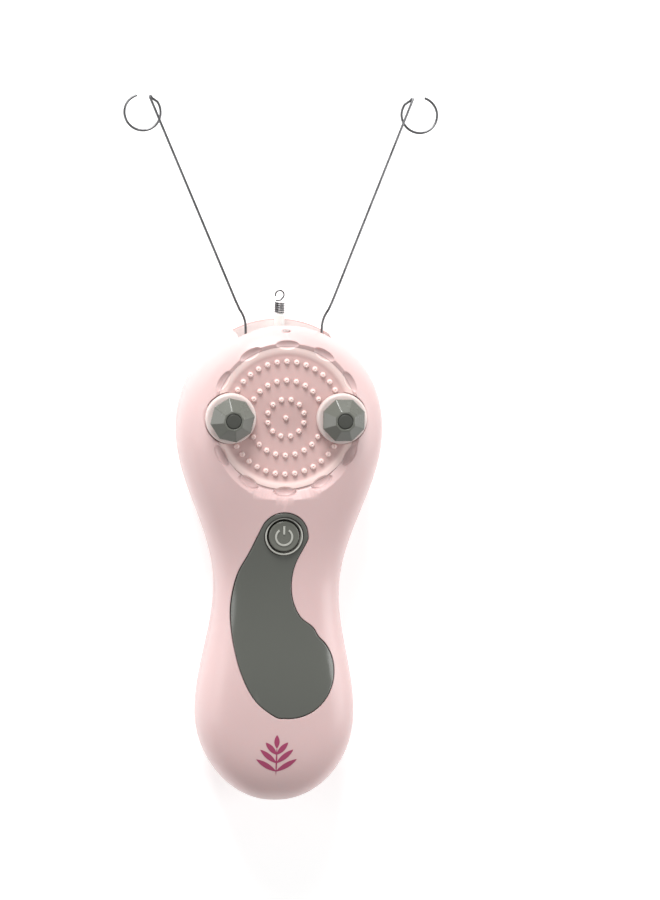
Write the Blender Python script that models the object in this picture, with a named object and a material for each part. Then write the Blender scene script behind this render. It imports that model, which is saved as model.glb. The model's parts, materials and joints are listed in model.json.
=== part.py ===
"""Handheld cotton-thread facial epilator with massage pad, built from separate pieces.

Lengths are in millimetres while shaping and become metres in finish().
The tool lies on its flat back: +Z leaves the massage face, +Y runs towards the thread arms
and +X is the right-hand side seen from the massage face.
"""

import math

import bmesh
import bpy
from mathutils import Matrix, Vector

MM = 0.001

# Overall body
BODY_LENGTH = 151.7
BULB_Y = 27.6
BULB_HALF_WIDTH = 24.8
WAIST_Y = 66.9
WAIST_HALF_WIDTH = 19.5
HEAD_Y = BODY_LENGTH - 33.7
HEAD_HALF_WIDTH = 32.2
SEAM_Z = 17.0
FACE_RISE_BULB = 17.0
FACE_RISE_WAIST = 14.5
FACE_RISE_HEAD = 19.5
BACK_DROP_BULB = 18.0
BACK_DROP_WAIST = 15.5
BACK_DROP_HEAD = 18.5
SQUARENESS_FACE = 3.0
SQUARENESS_BACK = 3.4
END_FULLNESS = 4.0
WALL = 2.0
SEAM_GAP = 0.3
FIT_GAP = 0.3
RUNNING_GAP = 0.1

# Massage pad on the head
PAD_Y = BODY_LENGTH - 28.9
PAD_RADIUS = 22.2
PAD_TOP_Z = 32.4
PAD_THICKNESS = 2.0
PAD_FLOOR = 1.9
PAD_GAP = 0.15
PAD_RIM_RISE = 0.6
NUB_RINGS = ((0.0, 1), (5.85, 12), (11.7, 24), (17.6, 36))
NUB_RADIUS = 0.84
NUB_HEIGHT = 0.95
DIMPLE_COUNT = 12
DIMPLE_LENGTH = 7.6
DIMPLE_WIDTH = 3.6
DIMPLE_DEPTH = 1.2

# Turning massage knobs
KNOB_SPACING = 34.7
KNOB_RADIUS = 7.0
KNOB_FOOT_RADIUS = 3.6
KNOB_TABLE_RADIUS = 3.2
KNOB_FOOT_RISE = 2.6
KNOB_HEIGHT = 6.7
KNOB_GIRDLE_LOW = 2.2
KNOB_GIRDLE_HIGH = 3.4
KNOB_SIDES = 8
LEFT_KNOB_TURN = 10.0
RIGHT_KNOB_TURN = 22.5
COLLAR_RADIUS = KNOB_RADIUS + 0.9
COLLAR_HEIGHT = 2.0
KNOB_PIN_RADIUS = 1.2
KNOB_PIN_HEAD = 2.3

# Button and inlay panel
BUTTON_Y = 85.8
BUTTON_RADIUS = 4.9
BUTTON_FLANGE = BUTTON_RADIUS + 1.0
BUTTON_TRAVEL = 1.0
BEZEL_WIDTH = 0.75
BEZEL_PROUD = 0.35
BEZEL_RADIUS = BUTTON_RADIUS + FIT_GAP + BEZEL_WIDTH
BUTTON_BOSS_RADIUS = BEZEL_RADIUS + 2.45
PANEL_TOP_RADIUS = BEZEL_RADIUS + 1.45
MARK_RADIUS = 2.3
MARK_STROKE = 0.5
PANEL_THICKNESS = 1.2
PANEL_LOBE_X = 2.4
PANEL_LOBE_Y = 42.8
PANEL_LOBE_RADIUS = 14.3

# Mouth at the top of the head
MOUTH_HALF_WIDTH = 14.5
MOUTH_LOW_Z = 9.5
MOUTH_HIGH_Z = 27.0
MOUTH_START_Y = BODY_LENGTH - 12.7
LIP_SLOT_LENGTH = 2.7
LIP_SLOT_WIDTH = 0.9
LIP_SLOT_Y = BODY_LENGTH - 2.1

# Thread arms
ARM_Z = 24.0
ARM_WIRE_RADIUS = 0.4
ARM_PIVOT_X = 9.0
ARM_PIVOT_Y = BODY_LENGTH - 17.7
ARM_FOOT = (11.6, ARM_PIVOT_Y + 7.0)
ARM_BASE = (12.0, ARM_PIVOT_Y + 16.5)
ARM_KNEE = (14.6, ARM_PIVOT_Y + 23.0)
ARM_SPLAY = 22.4
ARM_LEAN = 12.0
ARM_REACH = 71.0
EYELET_RADIUS = 5.65
EYELET_START = 110.0
EYELET_SWEEP = 322.0
EYELET_DROP = 1.25
HAIRPIN_RISE = 0.9
CARRIER_THICKNESS = 2.5
CARRIER_HUB_RADIUS = 3.2
CARRIER_BAR_WIDTH = 3.4
PIVOT_PIN_RADIUS = 1.5
SECTOR_TEETH = 30
SECTOR_SHOWN = 7

# Gear train
MODULE = 0.6
PRESSURE_ANGLE = 25.0
PINION_TEETH = 12
GEAR_TEETH = 36
BACKLASH = 0.16
GEAR_LOW_Z = 18.0
GEAR_THICKNESS = 2.2
MOTOR_Y = ARM_PIVOT_Y - 29.0
MOTOR_RADIUS = 12.2
MOTOR_LOW_Z = 3.2
MOTOR_HEIGHT = 12.3
MOTOR_SHAFT_RADIUS = 1.0
MOTOR_SCREW_X = 7.0
MOTOR_SCREW_RADIUS = 0.8
AXLE_RADIUS = 1.5
CRANK_RADIUS = 6.0
CRANK_PIN_RADIUS = 1.1
CHASSIS_LOW_Z = 15.9
CHASSIS_THICKNESS = 1.2
CHASSIS_HALF_WIDTH = 16.5

# Thread hook
HOOK_Z = 13.5
POST_RADIUS = 1.7
POST_END_Y = BODY_LENGTH + 1.7
POST_SPIGOT_RADIUS = POST_RADIUS - 0.6
COIL_RADIUS = 1.4
COIL_WIRE_RADIUS = 0.25
COIL_TURNS = 5.5
COIL_PITCH = 0.58
HOOK_RADIUS = 1.35

# Batteries
CELL_RADIUS = 7.1
CELL_LENGTH = 50.0
CELL_X = CELL_RADIUS + 0.3
CELL_CLEARANCE = 0.4
CELL_Z = WALL + 0.8 + CELL_RADIUS
CELL_LOW_Y = 10.6
CELL_HIGH_Y = CELL_LOW_Y + CELL_LENGTH
CONTACT_Y = CELL_HIGH_Y + 4.5
CONTACT_THICKNESS = 0.4
COVER_HALF_WIDTH = CELL_X + CELL_RADIUS + 1.2
COVER_LENGTH = CELL_HIGH_Y + 2.1
COVER_TOP_Z = 6.2
GRIP_GROOVES = 4
GRIP_PITCH = 2.6

# Screws
LOW_SCREW_Y = COVER_LENGTH + 8.8
HIGH_SCREW_Y = BODY_LENGTH - 35.7
SCREW_PLACES = ((-13.4, LOW_SCREW_Y), (13.4, LOW_SCREW_Y), (-22.0, HIGH_SCREW_Y), (22.0, HIGH_SCREW_Y))
SCREW_BOSS_RADIUS = 3.0
SCREW_RADIUS = 1.0
SCREW_HEAD_RADIUS = 2.2
SCREW_HEAD_Z = 3.4
SCREW_HEAD_HEIGHT = 1.4
SCREW_LENGTH = 21.0

PINK = (0.82, 0.60, 0.60, 1.0)
GREY_GREEN = (0.13, 0.14, 0.12, 1.0)
PALE = (0.85, 0.82, 0.80, 1.0)
STEEL = (0.55, 0.56, 0.58, 1.0)
BRASS = (0.70, 0.52, 0.25, 1.0)
BOARD = (0.05, 0.25, 0.12, 1.0)
DARK = (0.05, 0.05, 0.05, 1.0)
WHITE = (0.88, 0.88, 0.86, 1.0)


def clear_scene():
    """Remove whatever the new file holds."""
    for thing in list(bpy.data.objects):
        bpy.data.objects.remove(thing, do_unlink=True)


def solid(name, points, faces):
    """A mesh object from points and faces, with its faces turned outwards."""
    mesh = bpy.data.meshes.new(name)
    mesh.from_pydata([tuple(p) for p in points], [], faces)
    shape = bmesh.new()
    shape.from_mesh(mesh)
    bmesh.ops.recalc_face_normals(shape, faces=shape.faces)
    shape.to_mesh(mesh)
    shape.free()
    thing = bpy.data.objects.new(name, mesh)
    bpy.context.scene.collection.objects.link(thing)
    return thing


def combine(target, other, operation):
    """Apply one Boolean to target and remove the other object."""
    step = target.modifiers.new("step", "BOOLEAN")
    step.operation = operation
    step.solver = "EXACT"
    step.object = other
    bpy.context.view_layer.update()
    shown = target.evaluated_get(bpy.context.evaluated_depsgraph_get())
    result = bpy.data.meshes.new_from_object(shown)
    target.modifiers.clear()
    target.data = result
    bpy.data.objects.remove(other, do_unlink=True)
    return target


def cut(target, other):
    return combine(target, other, "DIFFERENCE")


def join(target, other):
    return combine(target, other, "UNION")


def keep(target, other):
    return combine(target, other, "INTERSECT")


def loops_solid(name, loops):
    """A closed solid through equal loops of points, flat at both ends."""
    count = len(loops[0])
    points = [p for loop in loops for p in loop]
    faces = [tuple(range(count))]
    for row in range(len(loops) - 1):
        for i in range(count):
            j = (i + 1) % count
            low = row * count
            faces.append((low + i, low + j, low + count + j, low + count + i))
    last = (len(loops) - 1) * count
    faces.append(tuple(last + i for i in range(count)))
    return solid(name, points, faces)


def prism(name, outline, low_z, high_z):
    """A straight block with the given outline in plan."""
    return loops_solid(name, [[(x, y, z) for x, y in outline] for z in (low_z, high_z)])


def box(name, low, high):
    """A block between two opposite corners."""
    corners = ((low[0], low[1]), (high[0], low[1]), (high[0], high[1]), (low[0], high[1]))
    return prism(name, corners, low[2], high[2])


def circle(x, y, radius, count=48, turn=0.0):
    """Points of a circle or regular polygon in plan."""
    steps = [math.radians(turn) + 2 * math.pi * i / count for i in range(count)]
    return [(x + radius * math.cos(a), y + radius * math.sin(a)) for a in steps]


def rod(name, x, y, radius, low_z, high_z, count=48):
    """An upright round bar."""
    return prism(name, circle(x, y, radius, count), low_z, high_z)


def turned(name, x, y, profile, count=48):
    """A solid turned about an upright axis from (radius, height) pairs, low to high."""
    return loops_solid(name, [[(px, py, z) for px, py in circle(x, y, r, count)] for r, z in profile])


def lie_along_y(thing, x, z, start_y):
    """Turn an upright piece made at the origin so that it points along +Y."""
    turn = Matrix.Rotation(math.radians(-90.0), 4, "X")
    thing.data.transform(Matrix.Translation(Vector((x, start_y, z))) @ turn)
    return thing


def swept(name, path, radius, sides=10):
    """A round wire along a path of points."""
    path = [Vector(p) for p in path]
    ways = []
    for i in range(len(path)):
        before = path[max(i - 1, 0)]
        after = path[min(i + 1, len(path) - 1)]
        ways.append((after - before).normalized())
    side = ways[0].orthogonal().normalized()
    loops = []
    for i, (point, way) in enumerate(zip(path, ways)):
        if i:
            side = ways[i - 1].rotation_difference(way) @ side
        side = (side - way * side.dot(way)).normalized()
        other = way.cross(side)
        ring = []
        for k in range(sides):
            a = 2 * math.pi * k / sides
            ring.append(tuple(point + radius * (math.cos(a) * side + math.sin(a) * other)))
        loops.append(ring)
    return loops_solid(name, loops)


def finish(thing, colour, roughness, metallic=0.0, pivot=(0.0, 0.0, 0.0), smooth=32.0):
    """Change to metres about the pivot, shade and colour one piece."""
    shift = Vector((0.0, -frame_middle_y(), 0.0))
    centre = Vector(pivot)
    mesh = thing.data
    mesh.transform(Matrix.Scale(MM, 4) @ Matrix.Translation(-centre))
    thing.location = (centre + shift) * MM
    mesh.shade_smooth()
    mesh.set_sharp_from_angle(angle=math.radians(smooth))
    material = bpy.data.materials.new(thing.name)
    material.use_nodes = True
    surface = material.node_tree.nodes["Principled BSDF"]
    surface.inputs["Base Color"].default_value = colour
    surface.inputs["Roughness"].default_value = roughness
    surface.inputs["Metallic"].default_value = metallic
    mesh.materials.clear()
    mesh.materials.append(material)
    return thing


def ease(a, b, t):
    """Smooth change from a to b as t goes from 0 to 1."""
    return a + (b - a) * (1 - math.cos(math.pi * t)) / 2


def rounded_end(u, fullness):
    """Share of the full size left at u, from 0 at the widest place to 1 at the tip."""
    return max(1 - abs(u) ** fullness, 0.0) ** (1 / fullness)


def section(y):
    """Half width, rise of the face and drop of the back at one place along the body."""
    if y < BULB_Y:
        u = (BULB_Y - y) / BULB_Y
        round_off = rounded_end(u, 2.0)
        full = rounded_end(u, END_FULLNESS - 1.0)
        back = rounded_end(u, END_FULLNESS)
        return BULB_HALF_WIDTH * round_off, FACE_RISE_BULB * full, BACK_DROP_BULB * back
    if y < WAIST_Y:
        t = (y - BULB_Y) / (WAIST_Y - BULB_Y)
        half = ease(BULB_HALF_WIDTH, WAIST_HALF_WIDTH, t)
        return half, ease(FACE_RISE_BULB, FACE_RISE_WAIST, t), ease(BACK_DROP_BULB, BACK_DROP_WAIST, t)
    if y < HEAD_Y:
        t = (y - WAIST_Y) / (HEAD_Y - WAIST_Y)
        half = ease(WAIST_HALF_WIDTH, HEAD_HALF_WIDTH, t)
        return half, ease(FACE_RISE_WAIST, FACE_RISE_HEAD, t), ease(BACK_DROP_WAIST, BACK_DROP_HEAD, t)
    u = (y - HEAD_Y) / (BODY_LENGTH - HEAD_Y)
    round_off = rounded_end(u, 2.0)
    full = rounded_end(u, END_FULLNESS)
    return HEAD_HALF_WIDTH * round_off, FACE_RISE_HEAD * full, BACK_DROP_HEAD * full


def body_stations(count_end, count_middle):
    """Places along the body, closer together where the ends curve."""
    low = [BULB_Y * (1 - math.cos(math.pi / 2 * (i + 0.35) / count_end)) for i in range(count_end)]
    span = HEAD_Y - BULB_Y
    middle = [BULB_Y + span * i / count_middle for i in range(count_middle)]
    cap = BODY_LENGTH - HEAD_Y
    high = [HEAD_Y + cap * math.sin(math.pi / 2 * i / (count_end + 0.35)) for i in range(count_end + 1)]
    return low + middle + high


def body_form(name, inset, count_end, count_middle, ring):
    """The closed form of the whole body, drawn in by inset."""
    points = [(0.0, inset, SEAM_Z)]
    stations = body_stations(count_end, count_middle)
    for y in stations:
        half, rise, drop = section(y)
        place = inset + y * (BODY_LENGTH - 2 * inset) / BODY_LENGTH
        half = max(half - inset, 0.3)
        rise = max(rise - inset, 0.3)
        drop = max(drop - inset, 0.3)
        for i in range(ring):
            a = 2 * math.pi * i / ring
            c = math.cos(a)
            s = math.sin(a)
            tall = rise if s >= 0 else drop
            power = SQUARENESS_FACE if s >= 0 else SQUARENESS_BACK
            reach = (abs(c / half) ** power + abs(s / tall) ** power) ** (-1 / power)
            points.append((reach * c, place, SEAM_Z + reach * s))
    points.append((0.0, BODY_LENGTH - inset, SEAM_Z))
    faces = []
    last = len(points) - 1
    for i in range(ring):
        j = (i + 1) % ring
        faces.append((0, 1 + i, 1 + j))
        for row in range(len(stations) - 1):
            low = 1 + row * ring
            faces.append((low + i, low + ring + i, low + ring + j, low + j))
        low = 1 + (len(stations) - 1) * ring
        faces.append((low + i, last, low + j))
    return solid(name, points, faces)


def outer_form(name):
    return body_form(name, 0.0, 9, 14, 56)


def back_form(name):
    return body_form(name, 0.0, 8, 11, 40)


def inner_form(name, inset=WALL):
    return body_form(name, inset, 5, 7, 24)


def everything_between(name, low_z, high_z):
    return box(name, (-60.0, -20.0, low_z), (60.0, BODY_LENGTH + 20.0, high_z))


def face_height(x, y):
    """Height of the body's face above the table."""
    half, rise, drop = section(y)
    return SEAM_Z + rise * rounded_end(x / half, SQUARENESS_FACE)


def panel_outline(grow=0.0):
    """Comma-shaped outline: an arc round the button, a waist and a round lower lobe."""
    lobe = PANEL_LOBE_RADIUS + grow
    top = PANEL_TOP_RADIUS + grow
    left = ((-10.4, 80.6), (-13.6, 74.0), (-15.3, 66.6), (-15.7, 59.4))
    left += ((-14.7, 50.8), (-12.2, 41.6), (-8.0, 33.9))
    right = ((9.6, 56.9), (5.6, 60.2), (3.2, 65.4), (2.7, 71.4), (3.9, 77.2))
    rim = []
    for i in range(13):
        a = math.radians(-12.0 + 172.0 * i / 12)
        rim.append((top * math.cos(a), BUTTON_Y + top * math.sin(a)))
    low = []
    for i in range(13):
        a = math.radians(252.0 + 158.0 * i / 12)
        low.append((PANEL_LOBE_X + lobe * math.cos(a), PANEL_LOBE_Y + lobe * math.sin(a)))
    left_grown = [(x - grow * 0.95, y + grow * 0.2) for x, y in left]
    right_grown = [(x + grow * 0.85, y + grow * 0.25) for x, y in right]
    return smooth_loop(rim + left_grown + low + right_grown, 64)


def smooth_loop(outline, count):
    """Evenly spaced points on a smooth closed curve through the given points."""
    n = len(outline)
    fine = []
    for i in range(n):
        a, b, c, d = (Vector((*outline[(i + k) % n], 0.0)) for k in (-1, 0, 1, 2))
        for step in range(12):
            t = step / 12
            move = (c - a) * t + (2 * a - 5 * b + 4 * c - d) * t ** 2 + (3 * b - a - 3 * c + d) * t ** 3
            fine.append(b + move / 2)
    lengths = [0.0]
    for i in range(len(fine)):
        lengths.append(lengths[-1] + (fine[(i + 1) % len(fine)] - fine[i]).length)
    points = []
    k = 0
    for i in range(count):
        want = lengths[-1] * i / count
        while lengths[k + 1] < want:
            k += 1
        share = (want - lengths[k]) / max(lengths[k + 1] - lengths[k], 1e-9)
        point = fine[k].lerp(fine[(k + 1) % len(fine)], share)
        points.append((point.x, point.y))
    return points


def dimples(name):
    """Oval cutters spaced round the rim of the pad."""
    points = []
    faces = []
    sides = 12
    rows = 6
    for number in range(DIMPLE_COUNT):
        a = 2 * math.pi * number / DIMPLE_COUNT
        radius = PAD_RADIUS + 0.63
        x = radius * math.cos(a)
        y = PAD_Y + radius * math.sin(a)
        z = min(face_height(x, y), PAD_TOP_Z + PAD_RIM_RISE + 0.3) + 0.5
        start = len(points)
        points.append((x, y, z - DIMPLE_DEPTH - 0.5))
        for row in range(1, rows):
            b = math.pi * row / rows
            for i in range(sides):
                c = 2 * math.pi * (i + 0.37) / sides
                along = DIMPLE_LENGTH / 2 * math.sin(b) * math.cos(c)
                across = DIMPLE_WIDTH / 2 * math.sin(b) * math.sin(c)
                px = x - along * math.sin(a) + across * math.cos(a)
                py = y + along * math.cos(a) + across * math.sin(a)
                points.append((px, py, z - (DIMPLE_DEPTH + 0.5) * math.cos(b)))
        points.append((x, y, z + DIMPLE_DEPTH + 0.5))
        last = len(points) - 1
        for i in range(sides):
            j = (i + 1) % sides
            faces.append((start, start + 1 + i, start + 1 + j))
            for row in range(rows - 2):
                low = start + 1 + row * sides
                faces.append((low + i, low + sides + i, low + sides + j, low + j))
            low = start + 1 + (rows - 2) * sides
            faces.append((low + i, last, low + j))
    return solid(name, points, faces)


def mouth_cutter(name):
    """The opening the arms swing in."""
    low = (-MOUTH_HALF_WIDTH, MOUTH_START_Y, MOUTH_LOW_Z)
    return box(name, low, (MOUTH_HALF_WIDTH, BODY_LENGTH + 5.0, MOUTH_HIGH_Z))


def front_shell():
    """Upper half of the housing with the pad's seat, the panel's seat and the button hole."""
    shell = keep(outer_form("front_shell"), everything_between("shape", SEAM_Z + SEAM_GAP / 2, 60.0))
    cut(shell, inner_form("shape"))
    seat_low = PAD_TOP_Z - PAD_THICKNESS - FIT_GAP
    boss = rod("shape", 0.0, PAD_Y, PAD_RADIUS + 3.0, seat_low - PAD_FLOOR, PAD_TOP_Z + 0.4, 56)
    for x, y in SCREW_PLACES:
        join(boss, rod("shape", x, y, SCREW_BOSS_RADIUS, SEAM_Z + 0.4, face_height(x, y) - 0.9, 16))
    join(boss, rod("shape", 0.0, BUTTON_Y, BUTTON_BOSS_RADIUS, face_height(0.0, BUTTON_Y) - 2.4, 34.0, 32))
    keep(boss, body_form("shape", 0.6, 5, 7, 24))
    join(shell, boss)
    seat_radius = PAD_RADIUS + PAD_GAP
    rim_z = PAD_TOP_Z + PAD_RIM_RISE
    flare = seat_radius + 5.6
    seat = ((seat_radius, seat_low), (seat_radius, rim_z), (flare, rim_z + 3.0), (flare, 45.0))
    cut(shell, turned("shape", 0.0, PAD_Y, seat, 60))
    for side in (-1, 1):
        x = side * KNOB_SPACING / 2
        cut(shell, rod("shape", x, PAD_Y, COLLAR_RADIUS + FIT_GAP, PAD_TOP_Z, 45.0, 36))
        cut(shell, rod("shape", x, PAD_Y, KNOB_PIN_RADIUS + RUNNING_GAP, 20.0, 45.0, 16))
    cut(shell, dimples("shape"))
    cut(shell, mouth_cutter("shape"))
    slot = [(LIP_SLOT_LENGTH / 2 * c, LIP_SLOT_Y + LIP_SLOT_WIDTH / 2 * s) for c, s in circle(0, 0, 1, 24)]
    cut(shell, prism("shape", slot, MOUTH_HIGH_Z - 1.0, 45.0))
    seat = prism("shape", panel_outline(FIT_GAP), 20.0, 45.0)
    cut(seat, body_form("shape", PANEL_THICKNESS + FIT_GAP, 8, 12, 40))
    cut(shell, seat)
    cut(shell, rod("shape", 0.0, BUTTON_Y, BEZEL_RADIUS + FIT_GAP, 31.2, 45.0, 48))
    cut(shell, rod("shape", 0.0, BUTTON_Y, BUTTON_RADIUS + FIT_GAP, 20.0, 45.0, 48))
    for x, y in SCREW_PLACES:
        cut(shell, rod("shape", x, y, SCREW_RADIUS + RUNNING_GAP, SEAM_Z - 1.0, SEAM_Z + 9.0, 12))
    return finish(shell, PINK, 0.38)


def cut_cell_bays(target, length):
    """Room for the two cells in a piece of the back; the two bays run into each other."""
    bays = []
    for side in (-1, 1):
        bay = rod("shape", 0.0, 0.0, CELL_RADIUS + CELL_CLEARANCE, -FIT_GAP, length + FIT_GAP, 28)
        bays.append(lie_along_y(bay, side * CELL_X, CELL_Z, CELL_LOW_Y))
    cut(target, join(*bays))


def back_shell():
    """Lower half of the housing with a flat back, screw bosses and the battery opening."""
    shell = keep(back_form("back_shell"), everything_between("shape", 0.0, SEAM_Z - SEAM_GAP / 2))
    hollow = keep(inner_form("shape"), everything_between("shape", WALL, 60.0))
    cut(shell, hollow)
    wall_y = CONTACT_Y + CONTACT_THICKNESS + FIT_GAP
    posts = box("shape", (-17.0, wall_y, 1.0), (17.0, wall_y + 1.4, SEAM_Z - SEAM_GAP / 2))
    for x, y in SCREW_PLACES:
        join(posts, rod("shape", x, y, SCREW_BOSS_RADIUS + 0.2, 1.0, SEAM_Z - SEAM_GAP / 2, 16))
    join(posts, box("shape", (-3.4, MOUTH_START_Y - 1.0, 1.0), (3.4, MOUTH_START_Y + 5.0, MOUTH_LOW_Z)))
    keep(posts, body_form("shape", 0.6, 5, 7, 24))
    join(shell, keep(posts, everything_between("shape", 0.5, SEAM_Z - SEAM_GAP / 2)))
    seat = SCREW_HEAD_Z + SCREW_HEAD_HEIGHT + FIT_GAP
    for x, y in SCREW_PLACES:
        cut(shell, rod("shape", x, y, SCREW_HEAD_RADIUS + FIT_GAP, -5.0, seat, 20))
        cut(shell, rod("shape", x, y, SCREW_RADIUS + FIT_GAP, -5.0, 30.0, 14))
    opening = COVER_HALF_WIDTH + FIT_GAP
    cut(shell, box("shape", (-opening, -5.0, -5.0), (opening, COVER_LENGTH + FIT_GAP, COVER_TOP_Z + FIT_GAP)))
    cut(shell, mouth_cutter("shape"))
    cut_cell_bays(shell, CELL_LENGTH)
    return finish(shell, PINK, 0.38)


def battery_cover():
    """Part of the back that slides off past the bottom end, clear of the cells all the way."""
    cover = keep(back_form("battery_cover"), everything_between("shape", 0.0, 30.0))
    hollow = keep(inner_form("shape"), everything_between("shape", WALL, 60.0))
    cut(cover, hollow)
    keep(cover, box("shape", (-COVER_HALF_WIDTH, -5.0, -5.0), (COVER_HALF_WIDTH, COVER_LENGTH, COVER_TOP_Z)))
    cut_cell_bays(cover, COVER_LENGTH)
    grip = COVER_HALF_WIDTH * 0.45
    for number in range(GRIP_GROOVES):
        y = COVER_LENGTH - 12.7 + GRIP_PITCH * number
        cut(cover, box("shape", (-grip, y, -1.0), (grip, y + 1.0, 0.5)))
    return finish(cover, PINK, 0.38)


def massage_pad():
    """Round pad with rings of nubs and dimples round its rim."""
    low = PAD_TOP_Z - PAD_THICKNESS
    profile = (
        (PAD_RADIUS - 0.4, low),
        (PAD_RADIUS, low + 0.4),
        (PAD_RADIUS, PAD_TOP_Z + PAD_RIM_RISE - 0.15),
        (PAD_RADIUS - 0.2, PAD_TOP_Z + PAD_RIM_RISE),
        (PAD_RADIUS - 1.6, PAD_TOP_Z + PAD_RIM_RISE * 0.4),
        (PAD_RADIUS - 3.2, PAD_TOP_Z),
    )
    pad = turned("massage_pad", 0.0, PAD_Y, profile, 60)
    points = []
    faces = []
    sides = 7
    rise = ((0.86, -0.3), (0.8, 0.45), (0.42, 0.9))
    for radius, count in NUB_RINGS:
        for number in range(count):
            a = 2 * math.pi * (number + 0.5 * (count == 12)) / count
            x = radius * math.cos(a)
            y = radius * math.sin(a)
            if math.hypot(abs(x) - KNOB_SPACING / 2, y) < COLLAR_RADIUS + NUB_RADIUS + FIT_GAP:
                continue
            start = len(points)
            for r, z in rise:
                r = r * NUB_RADIUS / 0.86
                z = PAD_TOP_Z + z * NUB_HEIGHT / 0.95
                points += [(px, py, z) for px, py in circle(x, PAD_Y + y, r, sides)]
            faces.append(tuple(start + i for i in range(sides)))
            faces.append(tuple(start + (len(rise) - 1) * sides + i for i in range(sides)))
            for row in range(len(rise) - 1):
                for i in range(sides):
                    j = (i + 1) % sides
                    k = start + row * sides
                    faces.append((k + i, k + j, k + sides + j, k + sides + i))
    join(pad, solid("shape", points, faces))
    cut(pad, dimples("shape"))
    for side in (-1, 1):
        x = side * KNOB_SPACING / 2
        cut(pad, rod("shape", x, PAD_Y, COLLAR_RADIUS + FIT_GAP, PAD_TOP_Z + 0.05, 45.0, 36))
        cut(pad, rod("shape", x, PAD_Y, KNOB_PIN_RADIUS + FIT_GAP, 20.0, 45.0, 16))
    return finish(pad, PINK, 0.45)


def knob_set(label, side, turn):
    """Collar, faceted knob and the pin it spins on."""
    x = side * KNOB_SPACING / 2
    low = PAD_TOP_Z + FIT_GAP
    bore = KNOB_PIN_RADIUS + RUNNING_GAP
    profile = (
        (COLLAR_RADIUS, low),
        (COLLAR_RADIUS, low + COLLAR_HEIGHT * 0.6),
        (COLLAR_RADIUS - 0.35, low + COLLAR_HEIGHT * 0.85),
        (COLLAR_RADIUS - 1.1, low + COLLAR_HEIGHT),
    )
    collar = turned(f"knob_collar_{label}", x, PAD_Y, profile, 36)
    cut(collar, rod("shape", x, PAD_Y, bore, 20.0, 50.0, 16))
    finish(collar, PALE, 0.35)

    foot = PAD_TOP_Z + KNOB_FOOT_RISE
    top = foot + KNOB_HEIGHT
    rings = (
        (KNOB_FOOT_RADIUS, foot),
        (KNOB_RADIUS, foot + KNOB_GIRDLE_LOW),
        (KNOB_RADIUS, foot + KNOB_GIRDLE_HIGH),
        (KNOB_TABLE_RADIUS, top),
    )
    loops = [[(px, py, z) for px, py in circle(x, PAD_Y, r, KNOB_SIDES, turn)] for r, z in rings]
    knob = loops_solid(f"knob_{label}", loops)
    cut(knob, rod("shape", x, PAD_Y, KNOB_PIN_HEAD + FIT_GAP / 2, top - 1.0, top + 5.0, 32))
    cut(knob, rod("shape", x, PAD_Y, bore, 20.0, 60.0, 20))
    finish(knob, GREY_GREEN, 0.3, pivot=(x, PAD_Y, foot), smooth=20.0)

    under = PAD_TOP_Z - PAD_THICKNESS - FIT_GAP - PAD_FLOOR - FIT_GAP
    profile = (
        (KNOB_PIN_HEAD, under - 1.0),
        (KNOB_PIN_HEAD, under),
        (KNOB_PIN_RADIUS, under + 0.001),
        (KNOB_PIN_RADIUS, top - 1.0 + FIT_GAP),
        (KNOB_PIN_HEAD, top - 1.0 + FIT_GAP + 0.001),
        (KNOB_PIN_HEAD, top - 0.25),
        (KNOB_PIN_HEAD - 0.3, top - 0.1),
    )
    finish(turned(f"knob_pin_{label}", x, PAD_Y, profile, 20), GREY_GREEN, 0.35)


def inlay_panel():
    """Glossy plate let into the face, with a hole for the bezel."""
    panel = prism("inlay_panel", panel_outline(), 20.0, 45.0)
    keep(panel, body_form("shape", -0.12, 9, 14, 56))
    cut(panel, body_form("shape", PANEL_THICKNESS, 8, 12, 40))
    cut(panel, rod("shape", 0.0, BUTTON_Y, BEZEL_RADIUS + FIT_GAP, 20.0, 45.0, 48))
    return finish(panel, GREY_GREEN, 0.12)


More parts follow.
